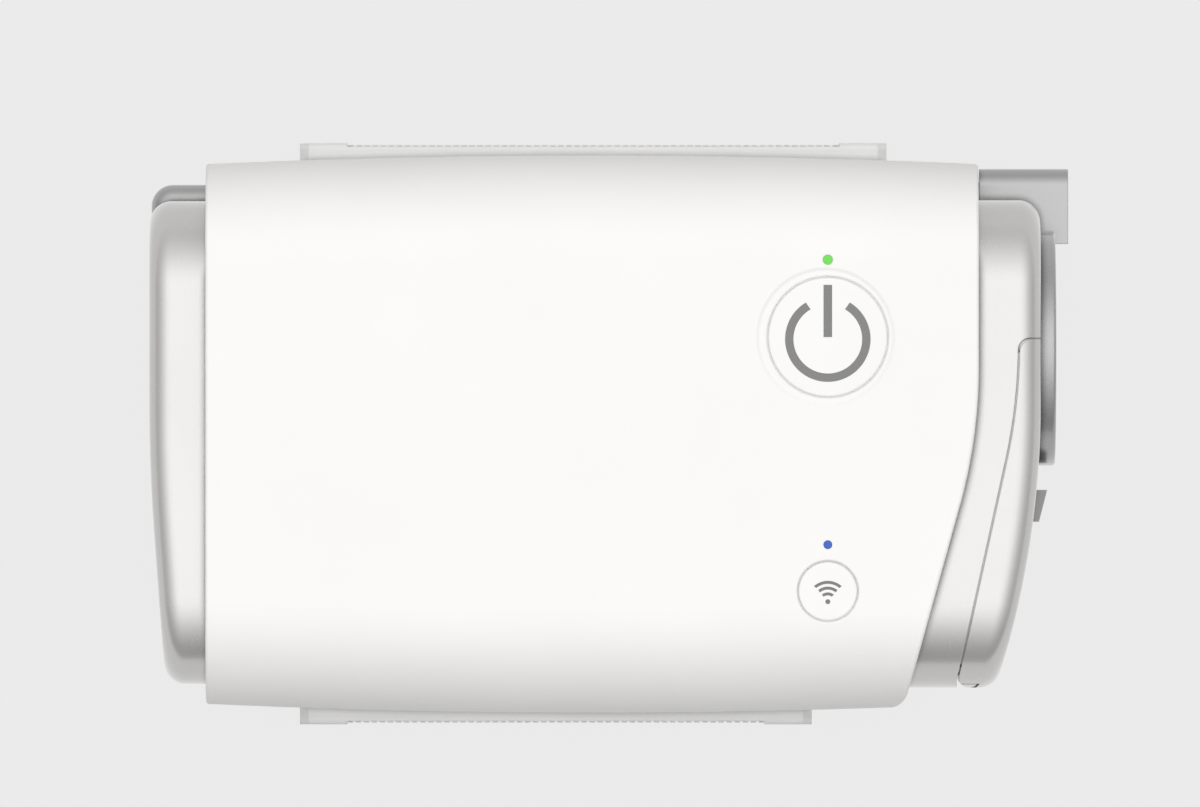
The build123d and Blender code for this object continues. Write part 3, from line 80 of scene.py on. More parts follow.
class Finish:
    def __init__(self, name):
        self.material = bpy.data.materials.new(name)
        self.material.use_nodes = True
        self.tree = self.material.node_tree
        self.shader = self.tree.nodes["Principled BSDF"]
        self.place = self.node("ShaderNodeTexCoord", {}, {}, "Object")

    def node(self, kind, settings, sockets, output=0):
        made = self.tree.nodes.new(kind)
        for key, value in settings.items():
            setattr(made, key, value)
        for key, value in sockets.items():
            self.feed(made.inputs[key], value)
        return Signal(self, made.outputs[output])

    def feed(self, socket, value):
        if isinstance(value, Signal):
            self.tree.links.new(value.socket, socket)
        else:
            socket.default_value = value

    def noise(self, scale, detail, rough):
        sockets = {"Vector": self.place, "Scale": scale, "Detail": detail, "Roughness": rough}
        return self.node("ShaderNodeTexNoise", {}, sockets)

    def risenNoise(self, noise, rise):
        return self.ramp(self.noise(*noise), *rise)

    def cells(self, scale, settings, output="Distance"):
        return self.node("ShaderNodeTexVoronoi", settings, {"Vector": self.place, "Scale": scale}, output)

    def vector(self, operation, first, second=(0.0, 0.0, 0.0), output=0):
        return self.node("ShaderNodeVectorMath", {"operation": operation}, {0: first, 1: second}, output)

    def ramp(self, signal, low, high):  # 0 below low, 1 above high
        sockets = {"Value": signal, "From Min": low, "From Max": high}
        return self.node("ShaderNodeMapRange", {"clamp": True}, sockets)

    def mix(self, share, first, second):  # of two colours, whose sockets are 6 and 7
        sockets = {0: share, 6: opaque(first), 7: opaque(second)}
        return self.node("ShaderNodeMix", {"data_type": "RGBA"}, sockets, 2)

    def roundEdges(self, radius):  # a small rounding of hard edges in the shading
        return self.node("ShaderNodeBevel", {"samples": edgeShading["samples"]}, {"Radius": radius})

    def edgeMask(self, rounded):  # 1 where an edge is rounded, 0 on the flat
        flat = self.node("ShaderNodeNewGeometry", {}, {}, "Normal")
        along = self.vector("DOT_PRODUCT", rounded, flat, "Value")
        return self.ramp(1.0 - along, *edgeShading["rise"])

    # painted shade: ambient occlusion darkens the colour in joints and hollows, where shade falls
    def jointShadeMask(self, reach):  # 1 deep in a joint, 0 on open surfaces
        settings = {"samples": creviceShading["samples"]}
        openness = self.node("ShaderNodeAmbientOcclusion", settings, {"Distance": reach}, "AO")
        return self.ramp(1.0 - openness, *creviceShading["rise"])

    def setPaintedJointShade(self, colour, look):  # a base colour with painted shade in the joints
        dustAndShade = self.jointShadeMask(look["shadeReach"]) * look["dustAndShade"]
        self.set("Base Color", self.mix(dustAndShade, colour, look["dustAndShadeColour"]))

    def bump(self, height, distance, normal=None):
        sockets = {"Height": height, "Distance": distance, "Strength": 1.0}
        if normal:
            sockets["Normal"] = normal
        return self.node("ShaderNodeBump", {}, sockets)

    def set(self, name, value):
        self.feed(self.shader.inputs[name], opaque(value))


def shade(value):  # a displayed grey level from 0 to 255, as a linear value
    share = value / 255
    return share / 12.92 if share <= 0.04045 else ((share + 0.055) / 1.055) ** 2.4


def tone(*levels):
    return tuple(shade(level) for level in levels)


# moulded plastics: a fine spark-eroded grain, edges rubbed a little paler, and painted shade in the joints
mouldWear = {
    "broad": (45, 3.0, 0.5), "broadRise": (0.35, 0.65), "patches": (160, 4.0, 0.6), "grainForm": (2.0, 0.6),
    "edgeShare": 0.6, "edgePolish": 0.05, "specular": 0.5,
}
whiteMoulding = {
    "colour": tone(244, 243, 241), "shadeColour": tone(242, 241, 239), "edgeColour": tone(247, 246, 245),
    "dustAndShadeColour": tone(214, 213, 210), "dustAndShade": 0.3, "shadeReach": 0.8 * mm,
    "roughness": 0.42, "roughnessSwing": 0.05, "grain": 3200, "grainDepth": 0.004 * mm, "edge": 0.18 * mm,
}
# on the rails the dark joint colour is painted shade, a contact shadow beside the sleeve
railMoulding = {
    "colour": tone(241, 241, 240), "shadeColour": tone(237, 237, 236), "edgeColour": tone(246, 246, 245),
    "dustAndShadeColour": tone(120, 119, 117), "dustAndShade": 1.0, "shadeReach": 2.0 * mm,
    "roughness": 0.5, "roughnessSwing": 0.06, "grain": 2600, "grainDepth": 0.006 * mm, "edge": 0.2 * mm,
}
# on the grey tab the much paler edge colour is a painted highlight
tabMoulding = {
    "colour": tone(164, 163, 161), "shadeColour": tone(158, 157, 155), "edgeColour": tone(222, 222, 221),
    "dustAndShadeColour": tone(120, 119, 117), "dustAndShade": 0.5, "shadeReach": 0.8 * mm,
    "roughness": 0.42, "roughnessSwing": 0.06, "grain": 2600, "grainDepth": 0.004 * mm, "edge": 0.15 * mm,
}
darkMoulding = {
    "colour": tone(70, 70, 71), "shadeColour": tone(60, 60, 61), "edgeColour": tone(92, 92, 92),
    "dustAndShadeColour": tone(84, 83, 80), "dustAndShade": 0.4, "shadeReach": 0.8 * mm,
    "roughness": 0.5, "roughnessSwing": 0.08, "grain": 2600, "grainDepth": 0.006 * mm, "edge": 0.12 * mm,
}
innerMoulding = {
    "colour": tone(176, 176, 176), "shadeColour": tone(168, 168, 168), "edgeColour": tone(190, 190, 190),
    "dustAndShadeColour": tone(150, 149, 146), "dustAndShade": 0.4, "shadeReach": 0.8 * mm,
    "roughness": 0.5, "roughnessSwing": 0.08, "grain": 2600, "grainDepth": 0.006 * mm, "edge": 0.12 * mm,
}
impellerMoulding = dict(innerMoulding, colour=tone(222, 222, 221), shadeColour=tone(214, 214, 212))


def mouldedPlastic(name, look):
    finish = Finish(name)
    rounded = finish.roundEdges(look["edge"])
    edges = finish.edgeMask(rounded)
    broad = finish.risenNoise(mouldWear["broad"], mouldWear["broadRise"])
    colour = finish.mix(broad, look["colour"], look["shadeColour"])
    colour = finish.mix(edges * mouldWear["edgeShare"], colour, look["edgeColour"])
    finish.setPaintedJointShade(colour, look)
    patches = finish.noise(*mouldWear["patches"])
    smoothest = look["roughness"] - look["roughnessSwing"] / 2
    finish.set("Roughness", patches * look["roughnessSwing"] + smoothest - edges * mouldWear["edgePolish"])
    grain = finish.noise(look["grain"], *mouldWear["grainForm"])
    finish.set("Normal", finish.bump(grain, look["grainDepth"], rounded))
    finish.set("Specular IOR Level", mouldWear["specular"])
    return finish.material


# satin metallic paints: fine flakes in a tinted binder, under a thin clear coat, with painted shade in the
# joints
paintWear = {
    "broad": (60, 3.0, 0.5), "broadRise": (0.35, 0.65), "broadShare": 0.6, "edgeShare": 0.4,
    "flakeRise": (0.7, 1.0), "flakeShare": 0.5, "flakeRoughness": 0.04,
    "patches": (220, 4.0, 0.6), "roughnessSwing": 0.06, "grainShare": 0.6, "grainForm": (2.0, 0.6),
}
# the dark joint colour is painted shade, the gap shadow between the sleeve and the caps
silverPaint = {
    "colour": tone(194, 193, 191), "flakeColour": tone(203, 202, 200), "shadeColour": tone(190, 189, 187),
    "dustAndShadeColour": tone(86, 86, 85), "dustAndShade": 1.0, "shadeReach": 1.3 * mm,
    "metallic": 0.82, "roughness": 0.23, "flakes": 16000, "flakeDepth": 0.0015 * mm, "edge": 0.25 * mm,
    "coat": 0.5, "coatRoughness": 0.06,
}
greyPaint = dict(silverPaint, colour=tone(160, 160, 160), flakeColour=tone(170, 170, 170),
                 shadeColour=tone(156, 156, 156), dustAndShadeColour=tone(64, 64, 64), roughness=0.19)
ringPaint = dict(greyPaint, roughness=0.24)
lipPaint = dict(silverPaint, colour=tone(188, 187, 185), flakeColour=tone(196, 195, 193),
                shadeColour=tone(184, 183, 181), dustAndShade=0.0)


def metallicPaint(name, look):
    finish = Finish(name)
    rounded = finish.roundEdges(look["edge"])
    edges = finish.edgeMask(rounded)
    broad = finish.risenNoise(paintWear["broad"], paintWear["broadRise"])
    flakes = finish.cells(look["flakes"], {}, "Color")
    chance = finish.node("ShaderNodeSeparateColor", {}, {"Color": flakes})
    sparkle = finish.ramp(chance, *paintWear["flakeRise"])
    colour = finish.mix(broad * paintWear["broadShare"], look["colour"], look["shadeColour"])
    colour = finish.mix(sparkle * paintWear["flakeShare"], colour, look["flakeColour"])
    colour = finish.mix(edges * paintWear["edgeShare"], colour, look["flakeColour"])
    finish.setPaintedJointShade(colour, look)
    finish.set("Metallic", look["metallic"])
    finish.set("Coat Weight", look["coat"])
    finish.set("Coat Roughness", look["coatRoughness"])
    patches, swing = finish.noise(*paintWear["patches"]), paintWear["roughnessSwing"]
    rough = patches * swing + (look["roughness"] - swing / 2)
    finish.set("Roughness", rough + sparkle * paintWear["flakeRoughness"])
    grain = finish.noise(look["flakes"] * paintWear["grainShare"], *paintWear["grainForm"])
    finish.set("Normal", finish.bump(grain, look["flakeDepth"], rounded))
    return finish.material


# rubbers: pored, with a little pale dust
rubberWear = {
    "dustAndShade": (140, 5.0, 0.65), "dustRise": (0.45, 0.75), "dustShare": 0.7, "dustRoughness": 0.1,
    "pores": (4200, 2.0, 0.7), "poreDepth": 0.01 * mm, "edge": 0.1 * mm, "specular": 0.35,
}
gripRubber = {"colour": tone(222, 222, 222), "dustAndShadeColour": tone(231, 231, 230), "roughness": 0.7}
padRubber = {"colour": tone(92, 92, 93), "dustAndShadeColour": tone(112, 112, 112), "roughness": 0.75}
sealRubber = {"colour": tone(70, 70, 72), "dustAndShadeColour": tone(84, 84, 85), "roughness": 0.7}
softDuct = {"colour": tone(190, 190, 190), "dustAndShadeColour": tone(200, 200, 199), "roughness": 0.6}


def rubber(name, look):
    finish = Finish(name)
    dustAndShade = finish.risenNoise(rubberWear["dustAndShade"], rubberWear["dustRise"])
    finish.set("Base Color", finish.mix(dustAndShade * rubberWear["dustShare"], look["colour"], look["dustAndShadeColour"]))
    finish.set("Roughness", look["roughness"] + dustAndShade * rubberWear["dustRoughness"])
    pores = finish.noise(*rubberWear["pores"])
    rounded = finish.roundEdges(rubberWear["edge"])
    finish.set("Normal", finish.bump(pores, rubberWear["poreDepth"], rounded))
    finish.set("Specular IOR Level", rubberWear["specular"])
    return finish.material


# bare metals: brushed or drawn, so the noise is stretched along the lay
metalWear = {
    "brushScale": 1.0, "brushDetail": 3.0, "brushRoughness": 0.14, "brushDepth": 0.004 * mm, "edge": 0.08 * mm,
    "stain": (220, 4.0, 0.6), "stainRise": (0.4, 0.7), "stainShare": 0.5, "stainRoughness": 0.05,
}
steel = {"colour": tone(205, 205, 206), "stainColour": tone(178, 178, 180), "roughness": 0.28,
         "lay": (400, 400, 9000)}
canAluminium = {"colour": tone(214, 214, 216), "stainColour": tone(196, 196, 199), "roughness": 0.36,
                "lay": (500, 500, 8000)}
magnetPlate = {"colour": tone(150, 150, 152), "stainColour": tone(120, 120, 122), "roughness": 0.4,
               "lay": (900, 900, 900)}
laminations = {"colour": tone(150, 150, 155), "stainColour": tone(105, 105, 110), "roughness": 0.42,
               "lay": (60, 60, 5200)}
copperWire = {"colour": tone(206, 120, 70), "stainColour": tone(168, 84, 42), "roughness": 0.3,
              "lay": (300, 300, 7000)}
contactBrass = {"colour": tone(232, 202, 130), "stainColour": tone(206, 170, 96), "roughness": 0.24,
                "lay": (5000, 600, 600)}


def metal(name, look):
    finish = Finish(name)
    stretched = finish.node("ShaderNodeMapping", {}, {"Vector": finish.place, "Scale": look["lay"]})
    sockets = {"Vector": stretched, "Scale": metalWear["brushScale"], "Detail": metalWear["brushDetail"]}
    brushed = finish.node("ShaderNodeTexNoise", {}, sockets)
    stain = finish.risenNoise(metalWear["stain"], metalWear["stainRise"])
    finish.set("Base Color", finish.mix(stain * metalWear["stainShare"], look["colour"], look["stainColour"]))
    finish.set("Metallic", 1.0)
    rough = brushed * metalWear["brushRoughness"] + (look["roughness"] - metalWear["brushRoughness"] / 2)
    finish.set("Roughness", rough + stain * metalWear["stainRoughness"])
    rounded = finish.roundEdges(metalWear["edge"])
    finish.set("Normal", finish.bump(brushed, metalWear["brushDepth"], rounded))
    return finish.material


boardLook = {
    "maskColour": tone(22, 92, 52), "trackColour": tone(30, 116, 68), "roughness": 0.32, "trackRoughness": 0.1,
    "tracks": 420, "trackRise": (0.28, 0.34), "trackDepth": 0.03 * mm,
}


def circuitBoard(name):
    finish = Finish(name)
    pattern = finish.cells(boardLook["tracks"], {"distance": "MANHATTAN"})
    tracks = finish.ramp(pattern, *boardLook["trackRise"])
    finish.set("Base Color", finish.mix(tracks, boardLook["maskColour"], boardLook["trackColour"]))
    finish.set("Roughness", boardLook["roughness"] + tracks * boardLook["trackRoughness"])
    finish.set("Normal", finish.bump(tracks, boardLook["trackDepth"]))
    return finish.material


foamLook = {
    "holeColour": tone(52, 52, 54), "wallColour": tone(96, 96, 98), "roughness": 0.9, "holePolish": 0.05,
    "cells": 1500, "holeRise": (0.02, 0.22), "holeDepth": 0.12 * mm, "specular": 0.2,
}


def openFoam(name):
    finish = Finish(name)
    pattern = finish.cells(foamLook["cells"], {"feature": "DISTANCE_TO_EDGE"})
    holes = finish.ramp(pattern, *foamLook["holeRise"])
    finish.set("Base Color", finish.mix(holes, foamLook["wallColour"], foamLook["holeColour"]))
    finish.set("Roughness", foamLook["roughness"] - holes * foamLook["holePolish"])
    finish.set("Normal", finish.bump(holes, -foamLook["holeDepth"]))
    finish.set("Specular IOR Level", foamLook["specular"])
    return finish.material


feltLook = {
    "gapColour": tone(206, 206, 200), "tuftColour": tone(236, 236, 231), "tuftRise": (0.35, 0.65),
    "strands": {"Scale": 1500, "Detail": 6.0, "Roughness": 0.7, "Distortion": 1.2},
    "roughness": 0.92, "tuftRoughness": 0.05, "tuftDepth": 0.1 * mm, "sheen": 0.3,
}


def felt(name):
    finish = Finish(name)
    strands = finish.node("ShaderNodeTexNoise", {}, {"Vector": finish.place, **feltLook["strands"]})
    tufts = finish.ramp(strands, *feltLook["tuftRise"])
    finish.set("Base Color", finish.mix(tufts, feltLook["gapColour"], feltLook["tuftColour"]))
    finish.set("Roughness", feltLook["roughness"] + tufts * feltLook["tuftRoughness"])
    finish.set("Normal", finish.bump(tufts, feltLook["tuftDepth"]))
    finish.set("Sheen Weight", feltLook["sheen"])
    return finish.material


greenGlow = {
    "centreColour": tone(106, 216, 76), "rimColour": tone(74, 184, 52), "strength": 0.62, "core": 0.55,
    "haze": (2400, 2.0, 0.5), "hazeRoughness": 0.1, "roughness": 0.2,
}
blueGlow = dict(greenGlow, centreColour=tone(34, 88, 190), rimColour=tone(24, 66, 160))


def litWindow(name, look, node):  # a light pipe's face: it glows most at its middle
    low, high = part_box(node)
    centre = ((low[0] + high[0]) / 2, (low[1] + high[1]) / 2, 0.0)
    radius = (high[0] - low[0]) / 2
    finish = Finish(name)
    flat = finish.vector("MULTIPLY", finish.vector("SUBTRACT", finish.place, centre), (1.0, 1.0, 0.0))
    rim = finish.ramp(finish.vector("LENGTH", flat, output="Value"), radius * look["core"], radius)
    colours = look["centreColour"], look["rimColour"]
    unlit = [tuple((1 - look["strength"]) * part for part in colour) for colour in colours]
    finish.set("Base Color", finish.mix(rim, *unlit))
    finish.set("Emission Color", finish.mix(rim, *colours))
    finish.set("Emission Strength", look["strength"])
    finish.set("Roughness", finish.noise(*look["haze"]) * look["hazeRoughness"] + look["roughness"])
    return finish.material


inkWear = {
    "screen": (3800, 3.0, 0.6), "screenRise": (0.3, 0.7), "thinner": 7,
    "roughness": 0.42, "screenRoughness": 0.08, "screenDepth": 0.003 * mm,
}


def printedInk(name, level):
    finish = Finish(name)
    screen = finish.risenNoise(inkWear["screen"], inkWear["screenRise"])
    thick, thin = [tone(grey, grey, grey - 1) for grey in (level, level + inkWear["thinner"])]
    finish.set("Base Color", finish.mix(screen, thick, thin))
    finish.set("Roughness", inkWear["roughness"] + screen * inkWear["screenRoughness"])
    finish.set("Normal", finish.bump(screen, inkWear["screenDepth"]))
    return finish.material


def paint(material, *names):
    for name in names:
        slots = nodes[name].data.materials
        slots.clear()
        slots.append(material)


whiteCasing = mouldedPlastic("whiteCasing", whiteMoulding)
silverCap = metallicPaint("silverCap", silverPaint)
greySilver = metallicPaint("greySilver", greyPaint)
paint(whiteCasing, "top_shell", "base_shell", "power_button", "wireless_button")
paint(silverCap, "left_end_cap", "outlet_end_cap", "filter_cover")
paint(greySilver, "left_end_base", "power_inlet_housing")
paint(metallicPaint("ringGrey", ringPaint), "outlet_ring")
paint(mouldedPlastic("tabGrey", tabMoulding), "cover_tab")
paint(mouldedPlastic("footWhite", railMoulding), "rear_foot_rail", "front_foot_rail")
paint(rubber("gripRubber", gripRubber), "rear_grip_strip", "front_grip_strip")
paint(rubber("padRubber", padRubber), "foot_pads")
paint(rubber("sealRubber", sealRubber), "filter_gasket", "outlet_seal", "blower_mounts")
paint(rubber("softDuct", softDuct), "outlet_bellows")
paint(mouldedPlastic("innerDark", darkMoulding), "dc_socket", "power_switch", "wireless_switch",
      "power_switch_plunger", "wireless_switch_plunger", "board_connectors", "flow_sensor",
      "board_chips", "power_leads", "motor_leads", "ribbon_cable")
paint(mouldedPlastic("structureGrey", innerMoulding), "chassis", "volute_base", "volute_cover",
      "flow_tube", "inlet_duct")
paint(mouldedPlastic("impellerWhite", impellerMoulding), "impeller")
paint(circuitBoard("boardGreen"), "button_board", "main_board")
paint(metal("canAluminium", canAluminium), "motor_can", "board_capacitors")
paint(metal("contactMetal", contactBrass), "dc_contacts")
paint(metal("steelParts", steel), "cover_hinge_pin", "motor_shaft", "bearing_outer_races",
      "bearing_inner_races", "case_screws", "board_screws", "blower_screws")
paint(metal("magnetPlate", magnetPlate), "rotor_magnet")
paint(metal("statorSteel", laminations), "motor_stator")
paint(metal("windingCopper", copperWire), "motor_coils")
paint(openFoam("silencerFoam"), "silencer_foam")
paint(felt("filterFelt"), "air_filter")
paint(litWindow("greenLight", greenGlow, "green_light_pipe"), "green_light_pipe")
paint(litWindow("blueLight", blueGlow, "blue_light_pipe"), "blue_light_pipe")
paint(mouldedPlastic("lampBody", impellerMoulding), "indicator_leds")
print("finishes on the carried nodes")


# printed marks on the buttons, in thin grey ink
powerMark = {
    "drop": 0.3 * mm, "innerRadius": 5.07 * mm, "outerRadius": 6.30 * mm, "halfGap": 31.0, "corners": 96,
    "barWidth": 1.26 * mm, "barLow": 0.0, "barHigh": 7.7 * mm, "barCuts": 6, "ink": 122,
}
wirelessMark = {
    "drop": 1.55 * mm, "dotRadius": 0.36 * mm, "dotCorners": 24, "ink": 114,
    "arcRadii": (1.15 * mm, 2.0 * mm, 2.85 * mm), "stroke": 0.43 * mm, "halfSpread": 42.0, "corners": 72,
}
inkFilm = {"startHeight": 60.0 * mm, "lift": 0.012 * mm, "thickness": 0.02 * mm}


def pick(*pieces):  # selects these alone, and the first one is the active one
    bpy.ops.object.select_all(action="DESELECT")
    for piece in pieces:
        piece.select_set(True)
    bpy.context.view_layer.objects.active = pieces[0]


def editAll():
    bpy.ops.object.mode_set(mode="EDIT")
    bpy.ops.mesh.select_all(action="SELECT")


def buttonCentre(node, drop):
    low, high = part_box(node)
    return (low[0] + high[0]) / 2, (low[1] + high[1]) / 2 - drop


def discAt(centre, radius, corners):
    bpy.ops.object.select_all(action="DESELECT")
    bpy.ops.mesh.primitive_circle_add(vertices=corners, radius=radius, fill_type="NGON",
                                      location=(*centre, inkFilm["startHeight"]))
    bpy.ops.object.transform_apply(location=True, rotation=True, scale=True)
    return bpy.context.object


def arcAt(centre, inner, outer, corners, keep, halfAngle):  # keep says on which side of the cuts ink stays
    band = discAt(centre, outer, corners)
    editAll()
    bpy.ops.mesh.inset(thickness=outer - inner)
    bpy.ops.mesh.delete(type="FACE")
    for turn in (halfAngle, -halfAngle):
        across = (math.cos(math.radians(turn)), math.sin(math.radians(turn)), 0.0)
        bpy.ops.mesh.select_all(action="SELECT")
        bpy.ops.mesh.bisect(plane_co=(*centre, inkFilm["startHeight"]), plane_no=across)
    bpy.ops.mesh.select_all(action="DESELECT")
    bpy.ops.object.mode_set(mode="OBJECT")
    for face in band.data.polygons:
        away = math.degrees(math.atan2(face.center.x - centre[0], face.center.y - centre[1]))
        face.select = (abs(away) < halfAngle) != (keep == "inside")
    bpy.ops.object.mode_set(mode="EDIT")
    bpy.ops.mesh.delete(type="FACE")
    bpy.ops.object.mode_set(mode="OBJECT")
    return band


def barAt(centre, width, low, high, cuts):
    bpy.ops.object.select_all(action="DESELECT")
    middle = (centre[0], centre[1] + (low + high) / 2, inkFilm["startHeight"])
    bpy.ops.mesh.primitive_plane_add(size=1.0, location=middle)
    bar = bpy.context.object
    bar.scale = (width, high - low, 1.0)
    bpy.ops.object.transform_apply(location=True, rotation=True, scale=True)
    editAll()
    bpy.ops.mesh.subdivide(number_cuts=cuts)
    bpy.ops.object.mode_set(mode="OBJECT")
    return bar


def joinPieces(pieces, name):
    pick(*pieces)
    bpy.ops.object.join()
    joined = bpy.context.object
    joined.name = joined.data.name = name
    return joined


def layOn(piece, carrier, lift):  # drops a flat piece onto its carrier
    wrap = piece.modifiers.new("wrap", "SHRINKWRAP")
    wrap.wrap_method = "PROJECT"
    wrap.target = nodes[carrier]
    wrap.use_project_z = True
    wrap.use_negative_direction = True
    wrap.use_positive_direction = False
    wrap.offset = lift
    bpy.ops.object.modifier_apply(modifier="wrap")


def thicken(piece, thickness, offset, share=""):  # share names a vertex group that scales the thickness
    wall = piece.modifiers.new("wall", "SOLIDIFY")
    wall.thickness = thickness
    wall.offset = offset
    wall.vertex_group = share
    bpy.ops.object.modifier_apply(modifier="wall")
    editAll()
    bpy.ops.mesh.normals_make_consistent(inside=False)
    bpy.ops.object.mode_set(mode="OBJECT")


def printOn(mark, carrier, ink):
    layOn(mark, carrier, inkFilm["lift"])
    thicken(mark, inkFilm["thickness"], 0.0)
    mark.data.materials.append(ink)
    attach(mark, carrier)


def makePowerMark():
    centre = buttonCentre("power_button", powerMark["drop"])
    arc = arcAt(centre, powerMark["innerRadius"], powerMark["outerRadius"], powerMark["corners"],
                "outside", powerMark["halfGap"])
    bar = barAt(buttonCentre("power_button", 0.0), powerMark["barWidth"], powerMark["barLow"],
                powerMark["barHigh"], powerMark["barCuts"])
    printOn(joinPieces([arc, bar], "powerMark"), "power_button", printedInk("powerInk", powerMark["ink"]))


def makeWirelessMark():
    centre, half = buttonCentre("wireless_button", wirelessMark["drop"]), wirelessMark["stroke"] / 2
    waves = [arcAt(centre, radius - half, radius + half, wirelessMark["corners"], "inside",
                   wirelessMark["halfSpread"]) for radius in wirelessMark["arcRadii"]]
    dot = discAt(centre, wirelessMark["dotRadius"], wirelessMark["dotCorners"])
    printOn(joinPieces([*waves, dot], "wirelessMark"), "wireless_button",
            printedInk("wirelessInk", wirelessMark["ink"]))


makePowerMark()
makeWirelessMark()
print("printed marks")


# the soft splash seal that closes the gap round each button, just under the surface
buttonSeal = {
    "gap": 0.18 * mm, "slack": 0.012 * mm, "depth": 0.27 * mm, "thickness": 0.3 * mm, "corners": 160,
    "measureInset": 0.5 * mm, "faceRadii": {"power_button": 8.8 * mm, "wireless_button": 4.35 * mm},
}


def makeButtonSeal(button, name):  # its height is taken on the button's face, then it grows out into the gap
    centre, face = buttonCentre(button, 0.0), buttonSeal["faceRadii"][button]
    measured = face - buttonSeal["measureInset"]
    growth = (face + buttonSeal["gap"] - buttonSeal["slack"]) / measured
    seal = discAt(centre, measured, buttonSeal["corners"])
    editAll()
    bpy.ops.mesh.inset(thickness=(buttonSeal["gap"] - 2 * buttonSeal["slack"]) / growth)
    bpy.ops.mesh.delete(type="FACE")
    bpy.ops.object.mode_set(mode="OBJECT")
    layOn(seal, button, 0.0)
    editAll()
    bpy.ops.transform.resize(value=(growth, growth, 1.0), center_override=(*centre, 0.0))
    bpy.ops.transform.translate(value=(0.0, 0.0, -buttonSeal["depth"]))
    bpy.ops.object.mode_set(mode="OBJECT")
    thicken(seal, buttonSeal["thickness"], -1.0)
    seal.name = seal.data.name = name
    seal.data.materials.append(whiteCasing)
    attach(seal, "casing")


makeButtonSeal("power_button", "powerButtonSeal")
makeButtonSeal("wireless_button", "wirelessButtonSeal")
print("button seals")


# fillings: the faces of one carried piece that run along an axis and look across a gap are copied, and
# thickened to close it; a negative slack lets them bite into what they meet, a band limits them along x, and
# a baffle keeps to the rear of one y
fillingRules = {"weld": 0.001 * mm, "turnLimit": 0.1, "smoothAngle": 30.0}
seamLip = {
    "source": "filter_cover", "across": ("outlet_end_cap",), "body": "filter_cover", "axis": 2,
    "widestGap": 0.38 * mm, "slack": 0.03 * mm, "depth": 0.1 * mm, "hingeClear": 2.4 * mm,
}
leftCapBaffle = {
    "source": "left_end_cap", "across": ("top_shell", "base_shell"), "body": "casing", "axis": 0,
    "widestGap": 5.0 * mm, "slack": -0.2 * mm, "band": (-57.4 * mm, -56.6 * mm), "rearOf": -math.inf,
}
leftBaseBaffle = dict(leftCapBaffle, source="left_end_base")
outletBaffle = dict(leftCapBaffle, source="outlet_end_cap", band=(51.2 * mm, 52.0 * mm), rearOf=0.0)


def wallOf(name):
    mesh = nodes[name].data
    corners = [vertex.co for vertex in mesh.vertices]
    return BVHTree.FromPolygons(corners, [face.vertices for face in mesh.polygons])


def makeFilling(name, look, leaveOut):  # leaveOut says of a place whether its faces are dropped
    filling = bpy.data.objects.new(name, nodes[look["source"]].data.copy())
    bpy.context.scene.collection.objects.link(filling)
    pick(filling)
    editAll()
    bpy.ops.mesh.remove_doubles(threshold=fillingRules["weld"])
    bpy.ops.mesh.customdata_custom_splitnormals_clear()
    for place, side in zip(look.get("band", ()), (-1.0, 1.0)):
        bpy.ops.mesh.select_all(action="SELECT")
        bpy.ops.mesh.bisect(plane_co=(place, 0.0, 0.0), plane_no=(side, 0.0, 0.0), clear_outer=True)
    bpy.ops.mesh.select_mode(type="FACE")
    bpy.ops.mesh.select_all(action="DESELECT")
    bpy.ops.object.mode_set(mode="OBJECT")
    walls = [wallOf(target) for target in look["across"]]
    for face in filling.data.polygons:
        hits = [wall.ray_cast(face.center, face.normal, look["widestGap"])[0] for wall in walls]
        turned = abs(face.normal[look["axis"]]) > fillingRules["turnLimit"]
        face.select = not any(hits) or turned or leaveOut(face.center)
    bpy.ops.object.mode_set(mode="EDIT")
    bpy.ops.mesh.delete(type="FACE")
    bpy.ops.mesh.select_mode(type="VERT")
    bpy.ops.object.mode_set(mode="OBJECT")
    reach = filling.vertex_groups.new(name="reach")
    for vertex in filling.data.vertices:
        gap = min(wall.find_nearest(vertex.co)[3] for wall in walls)
        share = (gap - look["slack"]) / look["widestGap"]
        reach.add([vertex.index], min(1.0, max(0.0, share)), "REPLACE")
    thicken(filling, look["widestGap"], 1.0, "reach")
    bpy.ops.object.shade_smooth_by_angle(angle=math.radians(fillingRules["smoothAngle"]))
    filling.data.materials.clear()
    return filling


def makeSeamLip():  # just under the surface, along the seam between the outlet cap and the filter cover
    low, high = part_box("cover_hinge_pin")
    pin = Vector(((low[0] + high[0]) / 2, (low[1] + high[1]) / 2))
    lip = makeFilling("seamLip", seamLip, lambda place: (place.xy - pin).length < seamLip["hingeClear"])
    low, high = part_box("outlet_end_cap")
    centre = [(first + second) / 2 for first, second in zip(low, high)]
    narrower = [1.0] + [1 - 2 * seamLip["depth"] / (high[axis] - low[axis]) for axis in (1, 2)]
    editAll()
    bpy.ops.transform.resize(value=narrower, center_override=centre)
    bpy.ops.object.mode_set(mode="OBJECT")
    lip.data.materials.append(metallicPaint("lipSilver", lipPaint))
    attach(lip, seamLip["body"])


def makeBaffle(name, look):  # closes the space between an end cap and the sleeve, a little inside its mouth
    baffle = makeFilling(name, look, lambda place: place.y < look["rearOf"])
    baffle.data.materials.append(silverCap)
    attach(baffle, look["body"])


makeSeamLip()
makeBaffle("leftCapBaffle", leftCapBaffle)
makeBaffle("leftBaseBaffle", leftBaseBaffle)
makeBaffle("outletBaffle", outletBaffle)
print("seam lip and baffles")


